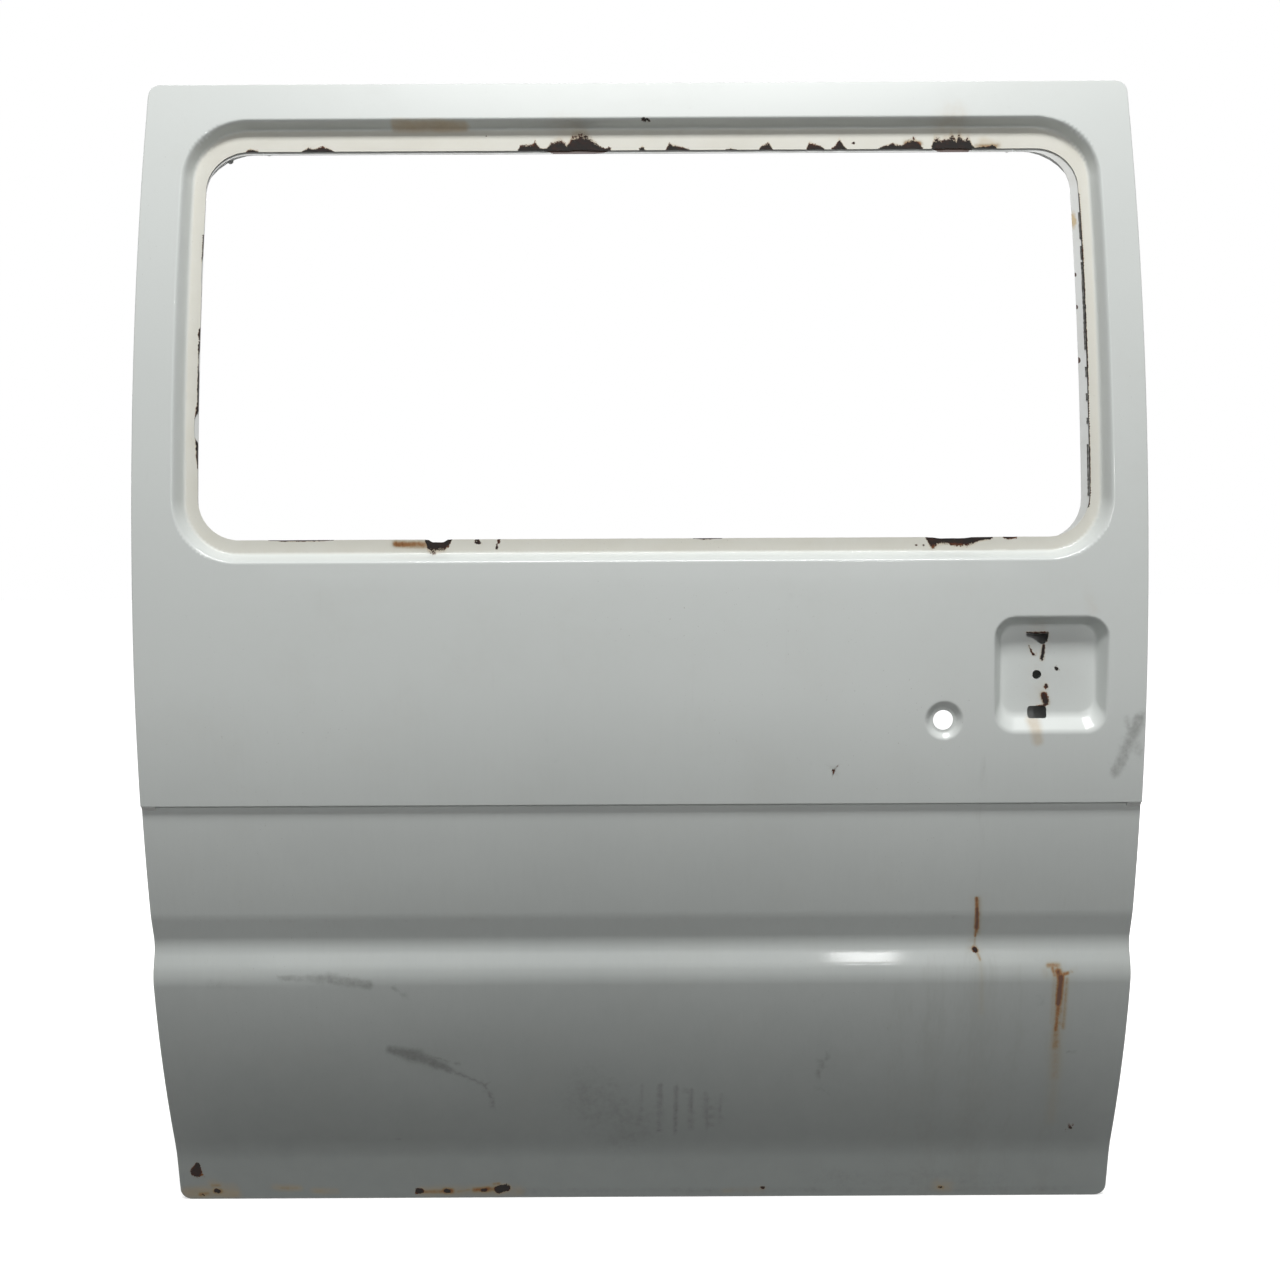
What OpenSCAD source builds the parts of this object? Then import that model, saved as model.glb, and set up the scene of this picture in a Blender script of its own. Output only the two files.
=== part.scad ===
// Side loading door of a van: a stripped steel shell, without glass, handle, lock or rollers.
// The outer panel is one curved pressing, hemmed round the flange of a frame of inner pressings.
// In the door's own layout x runs from the rear edge forwards, y from the outer face into the van
// and z up from the bottom edge. place() then moves the origin to the face of the hinge seat.

/* [Door outline] */
// Width of the door, from rear edge to front edge
door_w = 1020; // [960:1:1080]
// Height of the door, from bottom edge to top edge
door_h = 1200; // [1180:1:1230]
// Radius of the door's four outer corners
corner_r = 12; // [6:1:18]
// Height of the door's widest line above the bottom edge
waist_z = 635; // [625:1:645]
// Radius of the side's curve above the widest line
upper_r = 1880; // [1600:10:2400]
// Radius of the side's curve below the widest line
lower_r = 1435; // [1300:5:1700]
// How far the bottom edge lies inside the widest line
tuck = 117; // [110:1:124]

/* [Body lines] */
// Height of the small step across the door
step_z = 452; // [440:1:470]
// Depth of the small step
step_d = 4; // [2:0.5:5]
// Height of the upper edge of the cove
cove_top_z = 334; // [330:1:342]
// Height of the deepest line of the cove
cove_z = 301; // [298:1:306]
// Depth of the cove's deepest line, from the widest line
cove_y = 47.5; // [45:0.5:50]
// Height of the ridge below the cove
ridge_z = 271; // [266:1:276]
// Depth of the ridge, from the widest line
ridge_y = 38; // [36:0.5:40]
// Height of the crease above the bottom band
crease_z = 61; // [50:1:72]
// Depth of the crease, from the widest line
crease_y = 103; // [99:0.5:105]

/* [Sheet metal] */
// Thickness of the outer skin and the inner pressings
sheet = 0.9; // [0.7:0.1:1]
// Gap of paint or sealer between two sheets that lie on each other
seam = 0.1; // [0.05:0.05:0.2]
// Width of the hem folded back round the edge
hem_w = 10; // [8:0.5:11]
// Width of the inner frame's edge flange, from the door's edge
flange_w = 14; // [13:0.5:16]
// Depth of the inner face behind the outer face
door_depth = 48; // [44:1:52]
// Width of the laps between the inner pressings
lap = 18; // [12:1:22]

/* [Window] */
// Distance of the window opening from the door's rear and front edges
window_side = 63; // [60:1:66]
// Height of the opening's lower edge above the bottom edge
window_z0 = 724; // [718:1:740]
// Distance of the opening's upper edge from the top edge
window_drop = 72; // [71:1:76]
// Corner radius of the window opening
window_r = 42; // [34:1:50]
// Depth of the recess that the glass seal sits in
recess_d = 14; // [12:0.5:16]
// Run of the recess's sloping wall
recess_run = 7; // [5:0.5:8]
// Width of the recess floor at the rear
floor_rear = 14; // [12:1:16]
// Width of the recess floor at the front
floor_front = 20; // [16:1:22]
// Width of the recess floor below the opening
floor_low = 15; // [12:1:18]
// Width of the recess floor above the opening
floor_high = 24; // [18:1:26]
// Width of the welded window flange on the inner side
pinch_w = 16; // [13:1:18]
// How far the inner flange shows past the skin's at the opening's front edge
front_step = 8; // [6:0.5:9]

/* [Handle and lock] */
// Distance of the handle recess from the door's front edge
scoop_side = 35; // [34:1:40]
// Width of the handle recess
scoop_w = 123; // [115:1:126]
// Lower edge of the handle recess
scoop_z0 = 514; // [508:1:520]
// Height of the handle recess
scoop_h = 132; // [124:1:136]
// Depth of the handle recess
scoop_d = 16; // [12:0.5:18]
// Thickness of the plate behind the handle recess
handle_plate = 1.5; // [1:0.1:2]
// Distance of the handle holes from the recess's rear edge
handle_x = 50; // [46:1:54]
// Heights of the lower slot, the round hole and the upper slot above the recess's lower edge
handle_zs = [33, 71, 100];
// Width and height of the lower and the upper slot
handle_slots = [[22, 14], [23, 24]];
// Radius of the round hole between the slots
handle_hole_r = 5; // [4:0.5:6]
// Distance of the lock hole from the recess's rear edge
lock_gap = 46; // [44:1:50]
// Height of the lock hole above the recess's lower edge
lock_rise = 25; // [22:1:30]
// Radius of the lock hole
lock_r = 10; // [8:0.5:11]
// Outer radius of the dish round the lock hole
lock_dish_r = 19; // [17:0.5:21]
// Depth of the dish
lock_dish_d = 5; // [3:0.5:6]

/* [Inner frame] */
// Width of the two pillars below the window
pillar_w = 120; // [112:1:126]
// Height of the waist rail's face, below the window
waist_rail_h = 88; // [80:1:96]
// Upper edge of the sill rail
sill_rail_z = 112; // [108:1:118]
// Widths of the service holes in the upper row, as shares of the row
upper_row = [0.36, 0.36, 0.28];
// Widths of the service holes in the lower row, as shares of the row
lower_row = [0.46, 0.54];
// Height of the rib between the two rows
rib_z = 347; // [340:1:354]
// Width of the rib between the two rows
rib_w = 75; // [66:1:84]
// Width of the webs between the service holes of a row
web_w = 42; // [38:1:46]
// Width of the rim round the service holes
rim_w = 34; // [30:1:40]
// Corner radius of the service holes
service_r = 14; // [8:1:24]
// Radius of the round tooling holes in the pillars
tooling_r = 14; // [12:1:16]
// Heights of the tooling holes in the rear pillar
rear_tooling_zs = [250, 400];
// Heights of the tooling holes in the front pillar
front_tooling_zs = [300, 430];
// Radius of the stiffening beads' section
bead_r = 15; // [12:1:18]
// Height of the beads above the inner face
bead_h = 5; // [3:0.5:6]
// Lower and upper end of the rear pillar's bead
pillar_bead = [90, 180];
// Length of the drain slots in the bottom wall
drain_w = 34; // [24:2:40]
// Radius of the drain slots' ends
drain_r = 5; // [4:0.5:6]
// Places of the drain slots, as shares of the door's width
drain_xs = [0.26, 0.5, 0.74];

/* [Hinge, arm and latch seats] */
// Distance of the rear hinge seat from the rear edge
hinge_x = 60; // [59:1:61]
// Height of the rear hinge seat
hinge_z = 520; // [510:1:530]
// Width and height of the hinge seat
hinge_seat = [76, 100];
// Bolt spacing of the hinge seat, along x and z
hinge_bolts = [44, 66];
// Radius of the M8 clearance holes
bolt_hole_r = 4.5; // [4.2:0.1:5]
// Distance of the upper arm seat from the front edge
upper_arm_x = 62; // [61:1:63]
// Distance of the upper arm seat from the top edge
upper_arm_drop = 34; // [33:1:35]
// Width and height of the upper arm seat
upper_arm_seat = [70, 32];
// Bolt spacing of the upper arm seat
upper_arm_bolts = 40; // [38:1:44]
// Distance of the lower arm seat from the front edge
lower_arm_x = 60; // [59:1:61]
// Height of the lower arm seat
lower_arm_z = 72; // [66:1:78]
// Radius of the lower arm's round seat
lower_arm_seat_r = 35; // [34:0.5:36]
// Bolt circle of the lower arm seat
lower_arm_pcd = 46; // [42:1:48]
// Height of the latch above the bottom edge
latch_z = 585; // [575:1:600]
// Depth of the latch's axis from the widest line
latch_y = 25; // [24:1:26]
// Bolt circle of the latch
latch_pcd = 30; // [28:1:32]
// Radius of the M6 latch holes
latch_hole_r = 3.3; // [3:0.1:3.4]
// Radius of the opening for the latch's claw
latch_mouth_r = 8; // [7:0.5:9]
// Thickness of the plates behind the seats
plate = 2.5; // [2:0.5:3]
// Corner radius of the hinge seat and the upper arm seat
seat_corner_r = 9; // [6:1:12]
// How far those two seats stand out of the inner face
seat_rise = 2; // [1.5:0.5:3]

/* [Stiffeners] */
// Height of the lower bar bonded behind the outer skin
lower_bar_z = 186; // [170:2:210]
// Height of the upper bar bonded behind the outer skin
upper_bar_z = 392; // [380:2:404]
// Height of the belt bar under the window
belt_bar_z = 676; // [675:0.5:677]
// Depth of a bar's hat section
bar_d = 14; // [12:1:15]
// Width of the crown of a bar
bar_crown = 20; // [18:1:21]
// Width of the flanges of a bar
bar_flange = 10; // [8:0.5:10.5]
// Thickness of a bar's sheet
bar_t = 1; // [0.8:0.1:1.2]
// Thickness of the mastic between bar and skin
mastic_t = 3; // [2:0.5:4]
// Gap between the ends of the bars and the frame's walls
bar_end_gap = 2; // [1:0.5:4]

/* [Hidden] */

arc_step = 36;                // longest flat of a long arc
corner_n = 8;                 // flats in a rounded corner
far = 400;                    // reach of the blocks that are only cut with
over = 20;                    // how far the side's section is carried on past the door
clear = 5;                    // how far a cut reaches past what it cuts
eps = 0.01;
window_x0 = window_side;
window_x1 = door_w - window_side;
window_z1 = door_h - window_drop;
scoop_x0 = door_w - scoop_side - scoop_w;
scoop_x1 = scoop_x0 + scoop_w;
scoop_z1 = scoop_z0 + scoop_h;
handle_hole_x = scoop_x0 + handle_x;
lock_x = scoop_x0 - lock_gap;
lock_z = scoop_z0 + lock_rise;
waist_rail_z = window_z0 - pinch_w - waist_rail_h;
tuck_r = (waist_z * waist_z + tuck * tuck) / (2 * tuck); // one arc from the widest line to the bottom
hem_back = 3 * sheet + 2 * seam;
frame_r = corner_r + 16;      // corner radius of the inner frame, taken at the door's edge
butt = 0.5;                   // gap where two pressings of one depth meet edge to edge
layer = sheet + seam;         // depth taken up by one sheet
rail_depth = door_depth - layer;
panel_depth = rail_depth - layer;
draft = 2;                    // spread of a raised seat's sides from its face to its foot
seat_root = 16;               // how deep a seat's block stands in the face that it is raised from
joggle = 3;                   // where a panel steps down beside what lies on it
lap_clear = 4;                // distance of a lap from the bend beside it
bead_inset = 70;              // distance from a long bead's end to the end of its panel
bar_wall = 3;                 // spread of a bar's sides
mastic_clear = 0.4;           // room for the skin's curve under the mastic's flat strips
mastic_inset = 1;             // distance of the mastic from the edges of a bar's flange
plate_inset = 1.5;            // distance of a plate from the walls of its seat
m8_nut = [13, 6.5, 4];        // weld nuts: width across the flats, thickness, radius of the bore
m6_nut = [10, 5, 3];

// Depth of an arc of radius r at the height z, where its crown is at the widest line
function arc_y(r, z) = r - sqrt(r * r - (z - waist_z) * (z - waist_z));

// Heights from a to b in steps no longer than arc_step
function steps(a, b) =
    let (n = max(1, ceil(abs(b - a) / arc_step)))
    [for (i = [0 : n]) a + (b - a) * i / n];

// The lower panel is an arc that leaves the ridge at this slope and passes through the crease
ridge_slope = 0.18;
lower_panel_r = let (h = ridge_z - crease_z, y = crease_y - ridge_y) h * h / (2 * (y - ridge_slope * h));
function lower_panel_y(z) =
    let (h = ridge_z - z) ridge_y + ridge_slope * h + h * h / (2 * lower_panel_r);

// The depth of the outer face at a height
function skin_y(z) =
    z >= waist_z ? arc_y(upper_r, z)
    : z >= step_z ? arc_y(lower_r, z)
    : z >= cove_top_z ? arc_y(lower_r, z) + step_d
    : z >= cove_z ? cove_y + (skin_y(cove_top_z) - cove_y) * (z - cove_z) / (cove_top_z - cove_z)
    : z >= ridge_z ? ridge_y + (cove_y - ridge_y) * (z - ridge_z) / (cove_z - ridge_z)
    : z >= crease_z ? lower_panel_y(z)
    : crease_y + (tuck - crease_y) * (crease_z - z) / crease_z;

// A path's corner at b turned into an arc of radius r
function corner(a, b, c, r, n = 4) =
    let (u = (a - b) / norm(a - b), v = (c - b) / norm(c - b),
         half = acos(u * v) / 2,
         cut = min(r / tan(half), norm(a - b) * 0.45, norm(c - b) * 0.45),
         rr = cut * tan(half),
         mid = b + (u + v) / norm(u + v) * rr / sin(half),
         p = b + u * cut - mid, q = b + v * cut - mid,
         turn = 180 - 2 * half, side = sign(p[0] * q[1] - p[1] * q[0]))
    [for (i = [0 : n]) let (w = side * turn * i / n)
        mid + [p[0] * cos(w) - p[1] * sin(w), p[0] * sin(w) + p[1] * cos(w)]];

// The outer face as a path of [depth, height], from below the bottom edge to above the top edge;
// each body line has the radius of the punch, and the plain stretches end at line_reach from it
crease_round = 30;
ridge_round = 24;
cove_round = 16;
cove_top_round = 12;
line_reach = 20;
step_run = 5;                 // run of the small step's slope
step_reach = 3;               // where the curve goes on beside the step
cove_top_y = arc_y(lower_r, cove_top_z) + step_d;
bottom_y = tuck + (tuck - crease_y) * over / crease_z;
function panel_point(z) = [lower_panel_y(z), z];
function skin_point(z) = [skin_y(z), z];
skin_path = concat(
    [[bottom_y, -over]],
    corner([tuck, 0], [crease_y, crease_z], panel_point(crease_z + line_reach), crease_round),
    [for (z = steps(crease_z + line_reach, ridge_z - line_reach)) panel_point(z)],
    corner(panel_point(ridge_z - line_reach), [ridge_y, ridge_z], [cove_y, cove_z], ridge_round),
    corner([ridge_y, ridge_z], [cove_y, cove_z], [cove_top_y, cove_top_z], cove_round),
    corner([cove_y, cove_z], [cove_top_y, cove_top_z], skin_point(cove_top_z + line_reach), cove_top_round),
    [for (z = steps(cove_top_z + line_reach, step_z - step_run - step_reach)) skin_point(z)],
    [skin_point(step_z - step_run), skin_point(step_z)],
    [for (z = steps(step_z + step_reach, waist_z - arc_step)) skin_point(z)],
    [for (z = steps(waist_z, door_h + over)) skin_point(z)]);

// A path moved by d along its normals, into the van
function offset_path(path, d) =
    [for (i = [0 : len(path) - 1])
        let (a = path[max(i - 1, 0)], b = path[i], c = path[min(i + 1, len(path) - 1)],
             u = i > 0 ? (b - a) / norm(b - a) : (c - b) / norm(c - b),
             v = i < len(path) - 1 ? (c - b) / norm(c - b) : u,
             m = (u + v) / norm(u + v))
        b + [m[1], -m[0]] * d / (u * m)];

// The smooth face moved in by d, with none of the body lines: its depth at a height, and its path
function smooth_y(z, d) =
    let (r = z < waist_z ? tuck_r : upper_r)
    r - sqrt(pow(r - d, 2) - pow(z - waist_z, 2));
function smooth_path(d) =
    [for (z = concat(steps(-over, waist_z - 1), steps(waist_z, door_h + over))) [smooth_y(z, d), z]];
function inner_y(z) = smooth_y(z, door_depth);

// A rectangle with rounded corners, grown by g, whose corners are never quite sharp
least_r = 0.5;
function round_rect(x0, z0, x1, z1, r, g = 0) =
    let (rr = max(r + g, least_r), cx = [x1 + g - rr, x0 - g + rr], cz = [z1 + g - rr, z0 - g + rr],
         at = [[cx[0], cz[0]], [cx[1], cz[0]], [cx[1], cz[1]], [cx[0], cz[1]]])
    [for (k = [0 : 3]) for (i = [0 : corner_n])
        at[k] + rr * [cos(90 * (k + i / corner_n)), sin(90 * (k + i / corner_n))]];

module along_x(x0, x1) {
    translate([x0, 0, 0]) rotate([90, 0, 90]) linear_extrude(x1 - x0) children();
}

module along_y(y0, y1) {
    translate([0, y1, 0]) rotate([90, 0, 0]) linear_extrude(y1 - y0) children();
}

// Everything deeper than the outer face moved in by d
module behind_skin(d) {
    along_x(-over, door_w + over)
        polygon(concat(offset_path(skin_path, d), [[far, door_h + over], [far, -over]]));
}

// Everything deeper than the smooth face moved in by d
module behind_smooth(d) {
    along_x(-over, door_w + over)
        polygon(concat(smooth_path(d), [[far, door_h + over], [far, -over]]));
}

// The door's outline as a block, drawn in from the edge by inset
module outline(inset) {
    along_y(-far, far) polygon(round_rect(0, 0, door_w, door_h, corner_r, -inset));
}

// The inner frame's outline, with rounder corners, drawn in from the door's edge by inset
module frame_outline(inset) {
    along_y(-far, far) polygon(round_rect(0, 0, door_w, door_h, frame_r, -inset));
}

// A closed solid between two outlines of as many points, at the depths ya and yb
module loft(a, b, ya, yb) {
    n = len(a);
    polyhedron(
        points = concat([for (p = a) [p[0], ya, p[1]]], [for (p = b) [p[0], yb, p[1]]]),
        faces = concat([[for (i = [n - 1 : -1 : 0]) i]], [[for (i = [0 : n - 1]) n + i]],
                       [for (i = [0 : n - 1]) [i, (i + 1) % n, n + (i + 1) % n, n + i]]));
}

// The window's own frame leans with the side: z runs up the chord of the opening
recess_z0 = window_z0 - floor_low - recess_run;
recess_z1 = window_z1 + floor_high + recess_run;
recess_y0 = arc_y(upper_r, recess_z0);
window_lean = atan((arc_y(upper_r, recess_z1) - recess_y0) / (recess_z1 - recess_z0));
window_cz = (window_z0 + window_z1) / 2;
window_cy = arc_y(upper_r, window_cz);
window_bow = recess_y0 + tan(window_lean) * (window_cz - recess_z0) - window_cy;
module in_window_frame() {
    translate([0, window_cy + window_bow / 2, window_cz]) rotate([-window_lean, 0, 0]) children();
}
function window_rect(g_rear, g_low, g_front, g_high, r) =
    let (low = (window_z0 - window_cz) / cos(window_lean), high = (window_z1 - window_cz) / cos(window_lean))
    round_rect(window_x0 - g_rear, low - g_low, window_x1 + g_front, high + g_high, r);

// The recess round the window, cut in from outside down to its floor, all its faces moved by d
module window_recess(d) {
    slope = recess_run / recess_d;
    reach = 30;
    // Outline of the sloping wall where the local depth is y, at which the floor's own edge is at recess_d
    function wall(y) =
        let (g = (recess_d - y) * slope + d, r = window_r + floor_rear + g)
        window_rect(floor_rear + g, floor_low + g, floor_front + g, floor_high + g, r);
    difference() {
        in_window_frame() loft(wall(-reach), wall(reach), -reach, reach);
        behind_smooth(recess_d + d);
    }
}

// The handle recess, steep at the top and sloping at the bottom, its faces moved by d; the block
// that cuts it starts at scoop_front before the widest line, with the rim flared and rounded
scoop_front = 10;
scoop_flare = [2, 6, 2, 2];          // at the rear, below, at the front and above, as are the walls' runs
scoop_runs = [13, 29, 13, 11];
scoop_rim_r = 26;
scoop_floor_r = 16;
function scoop_rect(g, r, d) =
    round_rect(scoop_x0 - g[0], scoop_z0 - g[1], scoop_x1 + g[2], scoop_z1 + g[3], r, d);
module handle_scoop(d) {
    hull() {
        along_y(-scoop_front - 2, -scoop_front) polygon(scoop_rect(scoop_flare, scoop_rim_r, d));
        along_y(scoop_d - 0.5 + d, scoop_d + d) polygon(scoop_rect(-scoop_runs, scoop_floor_r, d));
    }
}

// The dish round the lock hole, with a flat rim at its bottom
lock_rim = 2.5;
module lock_dish(d) {
    lift = 1;
    flare = lift * (lock_dish_r - lock_r - lock_rim) / lock_dish_d;
    translate([lock_x, skin_y(lock_z) - lift, lock_z]) rotate([-90, 0, 0])
        cylinder(h = lock_dish_d + lift + d, r1 = lock_dish_r + flare + d, r2 = lock_r + lock_rim + d,
                 $fn = 64);
}

// Everything deeper than the pressed outer face, moved in by d
module behind_pressing(d) {
    difference() {
        behind_skin(d);
        window_recess(d);
        handle_scoop(d);
        lock_dish(d);
    }
}

// The window opening cut square to the glass, grown by g, and by front more at the front edge
module window_opening(g = 0, front = 0) {
    in_window_frame() along_y(-far, far) polygon(window_rect(g, g, g + front, g, window_r + g));
}

// The two slots and the round hole for the handle, grown by g
module handle_openings(g = 0) {
    length = scoop_d + 2 * over;
    for (i = [0, 1]) {
        size = handle_slots[i] + 2 * [g, g];
        translate([handle_hole_x - size[0] / 2, -over, scoop_z0 + handle_zs[2 * i] - size[1] / 2])
            cube([size[0], length, size[1]]);
    }
    translate([handle_hole_x, -over, scoop_z0 + handle_zs[1]]) rotate([-90, 0, 0])
        cylinder(h = length, r = handle_hole_r + g, $fn = 48);
}

// The face of each seat, as a depth
hinge_plane = inner_y(hinge_z - hinge_seat[1] / 2) + seat_rise;
upper_arm_z = door_h - upper_arm_drop;
upper_arm_plane = inner_y(upper_arm_z + upper_arm_seat[1] / 2) + seat_rise;
lower_arm_plane = inner_y(lower_arm_z);

function seat_outline(seat_x, seat_z, size, g) =
    let (half = size / 2)
    round_rect(seat_x - half[0], seat_z - half[1], seat_x + half[0], seat_z + half[1], seat_corner_r, g);

// A flat seat raised from the inner face; $d is how far the drawn face lies outside the sheet's cavity side
module raised_seat(seat_x, seat_z, size, plane) {
    g = $d - sheet;
    loft(seat_outline(seat_x, seat_z, size, g + draft), seat_outline(seat_x, seat_z, size, g),
         plane - seat_root + g, plane + g);
}

// The lower arm's round seat, with its face at the depth y
module round_seat(r, y) {
    translate([door_w - lower_arm_x, y - seat_root, lower_arm_z]) rotate([-90, 0, 0])
        cylinder(h = seat_root, r1 = r + draft, r2 = r, $fn = 72);
}

// A straight bead pressed into the inner face, along x from x0 to x1 or along z from z0 to z1
module bead_x(x0, x1, z, depth) {
    r = bead_r + $d - sheet;
    y = inner_y(z) - (door_depth - depth) + bead_h - bead_r;
    translate([x0, y, z]) {
        rotate([0, 90, 0]) cylinder(h = x1 - x0, r = r, $fn = 40);
        rotate([0, 90, 0]) sphere(r, $fn = 40);
        translate([x1 - x0, 0, 0]) rotate([0, 90, 0]) sphere(r, $fn = 40);
    }
}
module bead_z(x, z0, z1, depth) {
    r = bead_r + $d - sheet;
    dy = inner_y(z1) - inner_y(z0);
    lift = (door_depth - depth) - bead_h + bead_r;
    translate([x, inner_y(z0) - lift, z0]) rotate([-atan(dy / (z1 - z0)), 0, 0]) {
        cylinder(h = norm([z1 - z0, dy]), r = r, $fn = 40);
        sphere(r, $fn = 40);
        translate([0, 0, norm([z1 - z0, dy])]) sphere(r, $fn = 40);
    }
}

module with_offset($d) { children(); }

// The inner frame as a block: its face at depth, its edge wall, and the well round the window
module inner_block(depth, d) {
    difference() {
        frame_outline(flange_w + sheet - d);
        behind_smooth(depth - sheet + d);
        intersection() {
            window_opening(pinch_w + sheet - d);
            behind_smooth(recess_d + sheet + seam + d);
        }
    }
}

// The inner frame as one sheet; its children are the raised seats and beads
module inner_sheet(depth) {
    difference() {
        union() {
            intersection() {
                union() {
                    inner_block(depth, sheet);
                    with_offset(sheet) children();
                }
                behind_skin(layer);
            }
            difference() {
                behind_skin(layer);
                behind_skin(layer + sheet);
                frame_outline(flange_w);
            }
        }
        difference() {
            behind_skin(-clear);
            outline(layer);
        }
        inner_block(depth, 0);
        with_offset(0) children();
        window_opening();
    }
}

module span(x0, x1, z0, z1) {
    translate([x0, -far, z0]) cube([x1 - x0, 2 * far, z1 - z0]);
}

// The face of a rail carried on under the pillars to be welded to them
module lap_strips(depth, z0, z1) {
    intersection() {
        difference() {
            behind_smooth(depth - sheet);
            behind_smooth(depth);
            window_opening(pinch_w + lap_clear);
        }
        frame_outline(flange_w + lap_clear);
        for (x0 = [pillar_w - lap, door_w - pillar_w - butt - eps])
            span(x0, x0 + lap + butt + eps, z0, z1);
    }
}

// Draws its children at a place on the inner face, with z standing out square from the face
module on_face(x, z) {
    slope = (inner_y(z + 10) - inner_y(z - 10)) / 20;
    translate([x, inner_y(z), z]) rotate([-90 - atan(slope), 0, 0]) children();
}

module bolt_holes(pattern, y, r, length = 60) {
    for (p = pattern) translate([p[0], y - length / 2, p[1]]) rotate([-90, 0, 0])
        cylinder(h = length, r = r, $fn = 32);
}
hinge_pattern = [for (i = [-0.5, 0.5]) for (j = [-0.5, 0.5])
    [hinge_x + i * hinge_bolts[0], hinge_z + j * hinge_bolts[1]]];
upper_arm_pattern = [for (i = [-0.5, 0.5]) [door_w - upper_arm_x + i * upper_arm_bolts, upper_arm_z]];
lower_arm_pattern = [for (w = [0 : 120 : 240])
    [door_w - lower_arm_x + lower_arm_pcd / 2 * sin(w), lower_arm_z + lower_arm_pcd / 2 * cos(w)]];
front_wall = door_w - flange_w;
latch_pattern = [for (w = [0 : 120 : 240])
    [latch_y + latch_pcd / 2 * cos(w), latch_z + latch_pcd / 2 * sin(w)]];

// The latch's screw holes and the opening for its claw, through wall and plate
module latch_cuts() {
    length = layer + plate + 2 * clear;
    translate([front_wall - layer - plate - clear, 0, 0]) {
        for (p = latch_pattern)
            translate([0, p[0], p[1]]) rotate([0, 90, 0]) cylinder(h = length, r = latch_hole_r, $fn = 32);
        translate([0, latch_y, latch_z]) rotate([0, 90, 0]) cylinder(h = length, r = latch_mouth_r, $fn = 48);
    }
}

pillar_mid = (flange_w + pillar_w) / 2;
plug_places = concat([for (z = rear_tooling_zs) [pillar_mid, z]],
                     [for (z = front_tooling_zs) [door_w - pillar_mid, z]]);
module plug_holes(r) {
    for (p = plug_places) on_face(p[0], p[1])
        translate([0, 0, -over]) cylinder(h = 2 * over, r = r, $fn = 48);
}

// The outer panel: one pressed sheet whose edge is folded back over the inner frame's flange
module outer_skin() color("gainsboro") difference() {
    intersection() {
        behind_pressing(0);
        outline(0);
    }
    difference() {
        intersection() {
            behind_pressing(sheet);
            outline(sheet);
        }
        difference() {
            behind_skin(2 * layer);
            behind_skin(hem_back);
            outline(hem_w);
        }
    }
    difference() {
        behind_skin(hem_back);
        outline(sheet);
    }
    window_opening(0, front_step);
    handle_openings();
    translate([lock_x, -over, lock_z]) rotate([-90, 0, 0]) cylinder(h = 3 * over, r = lock_r, $fn = 64);
}

// The front pillar: the latch sits in its wall, the two arms on its face
module inner_front_pillar() color("silver") difference() {
    intersection() {
        inner_sheet(door_depth) {
            raised_seat(door_w - upper_arm_x, upper_arm_z, upper_arm_seat, upper_arm_plane);
            round_seat(lower_arm_seat_r + $d - sheet, lower_arm_plane + $d - sheet);
        }
        span(door_w - pillar_w, door_w + clear, -clear, door_h + clear);
    }
    bolt_holes(upper_arm_pattern, upper_arm_plane, bolt_hole_r);
    bolt_holes(lower_arm_pattern, lower_arm_plane, bolt_hole_r);
    latch_cuts();
    plug_holes(tooling_r);
}

// The rear pillar: the hinge of the middle roller is bolted to its seat
module inner_rear_pillar() color("silver") difference() {
    intersection() {
        inner_sheet(door_depth) {
            raised_seat(hinge_x, hinge_z, hinge_seat, hinge_plane);
            bead_z(pillar_mid, pillar_bead[0], pillar_bead[1], door_depth);
        }
        span(-clear, pillar_w, -clear, door_h + clear);
    }
    bolt_holes(hinge_pattern, hinge_plane, bolt_hole_r);
    plug_holes(tooling_r);
}

// The header above the window
module inner_header() color("lightgray") {
    intersection() {
        inner_sheet(rail_depth);
        span(pillar_w + butt, door_w - pillar_w - butt, window_cz, door_h + clear);
    }
    lap_strips(rail_depth, window_cz, door_h);
}

// The waist rail under the window, with a bead a little above its middle
waist_bead_z = waist_rail_z + 0.57 * waist_rail_h;
module inner_waist_rail() color("lightgray") {
    intersection() {
        inner_sheet(rail_depth) bead_x(2 * bead_inset, door_w - 2 * bead_inset, waist_bead_z, rail_depth);
        span(pillar_w + butt, door_w - pillar_w - butt, waist_rail_z, window_cz);
    }
    lap_strips(rail_depth, waist_rail_z, window_z0);
}

// The sill rail along the bottom, with slots that let water out
module inner_sill_rail() color("lightgray") difference() {
    union() {
        intersection() {
            inner_sheet(rail_depth);
            span(pillar_w + butt, door_w - pillar_w - butt, -clear, sill_rail_z);
        }
        lap_strips(rail_depth, 0, sill_rail_z);
    }
    for (x = drain_xs) translate([door_w * x, (skin_y(flange_w) + inner_y(flange_w)) / 2, flange_w - clear])
        drain_slot();
}
module drain_slot() {
    straight = drain_w - 2 * drain_r;
    height = sheet + 2 * clear;
    for (i = [-0.5, 0.5]) translate([i * straight, 0, 0]) cylinder(h = height, r = drain_r, $fn = 32);
    translate([-straight / 2, -drain_r, 0]) cube([straight, 2 * drain_r, height]);
}

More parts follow.
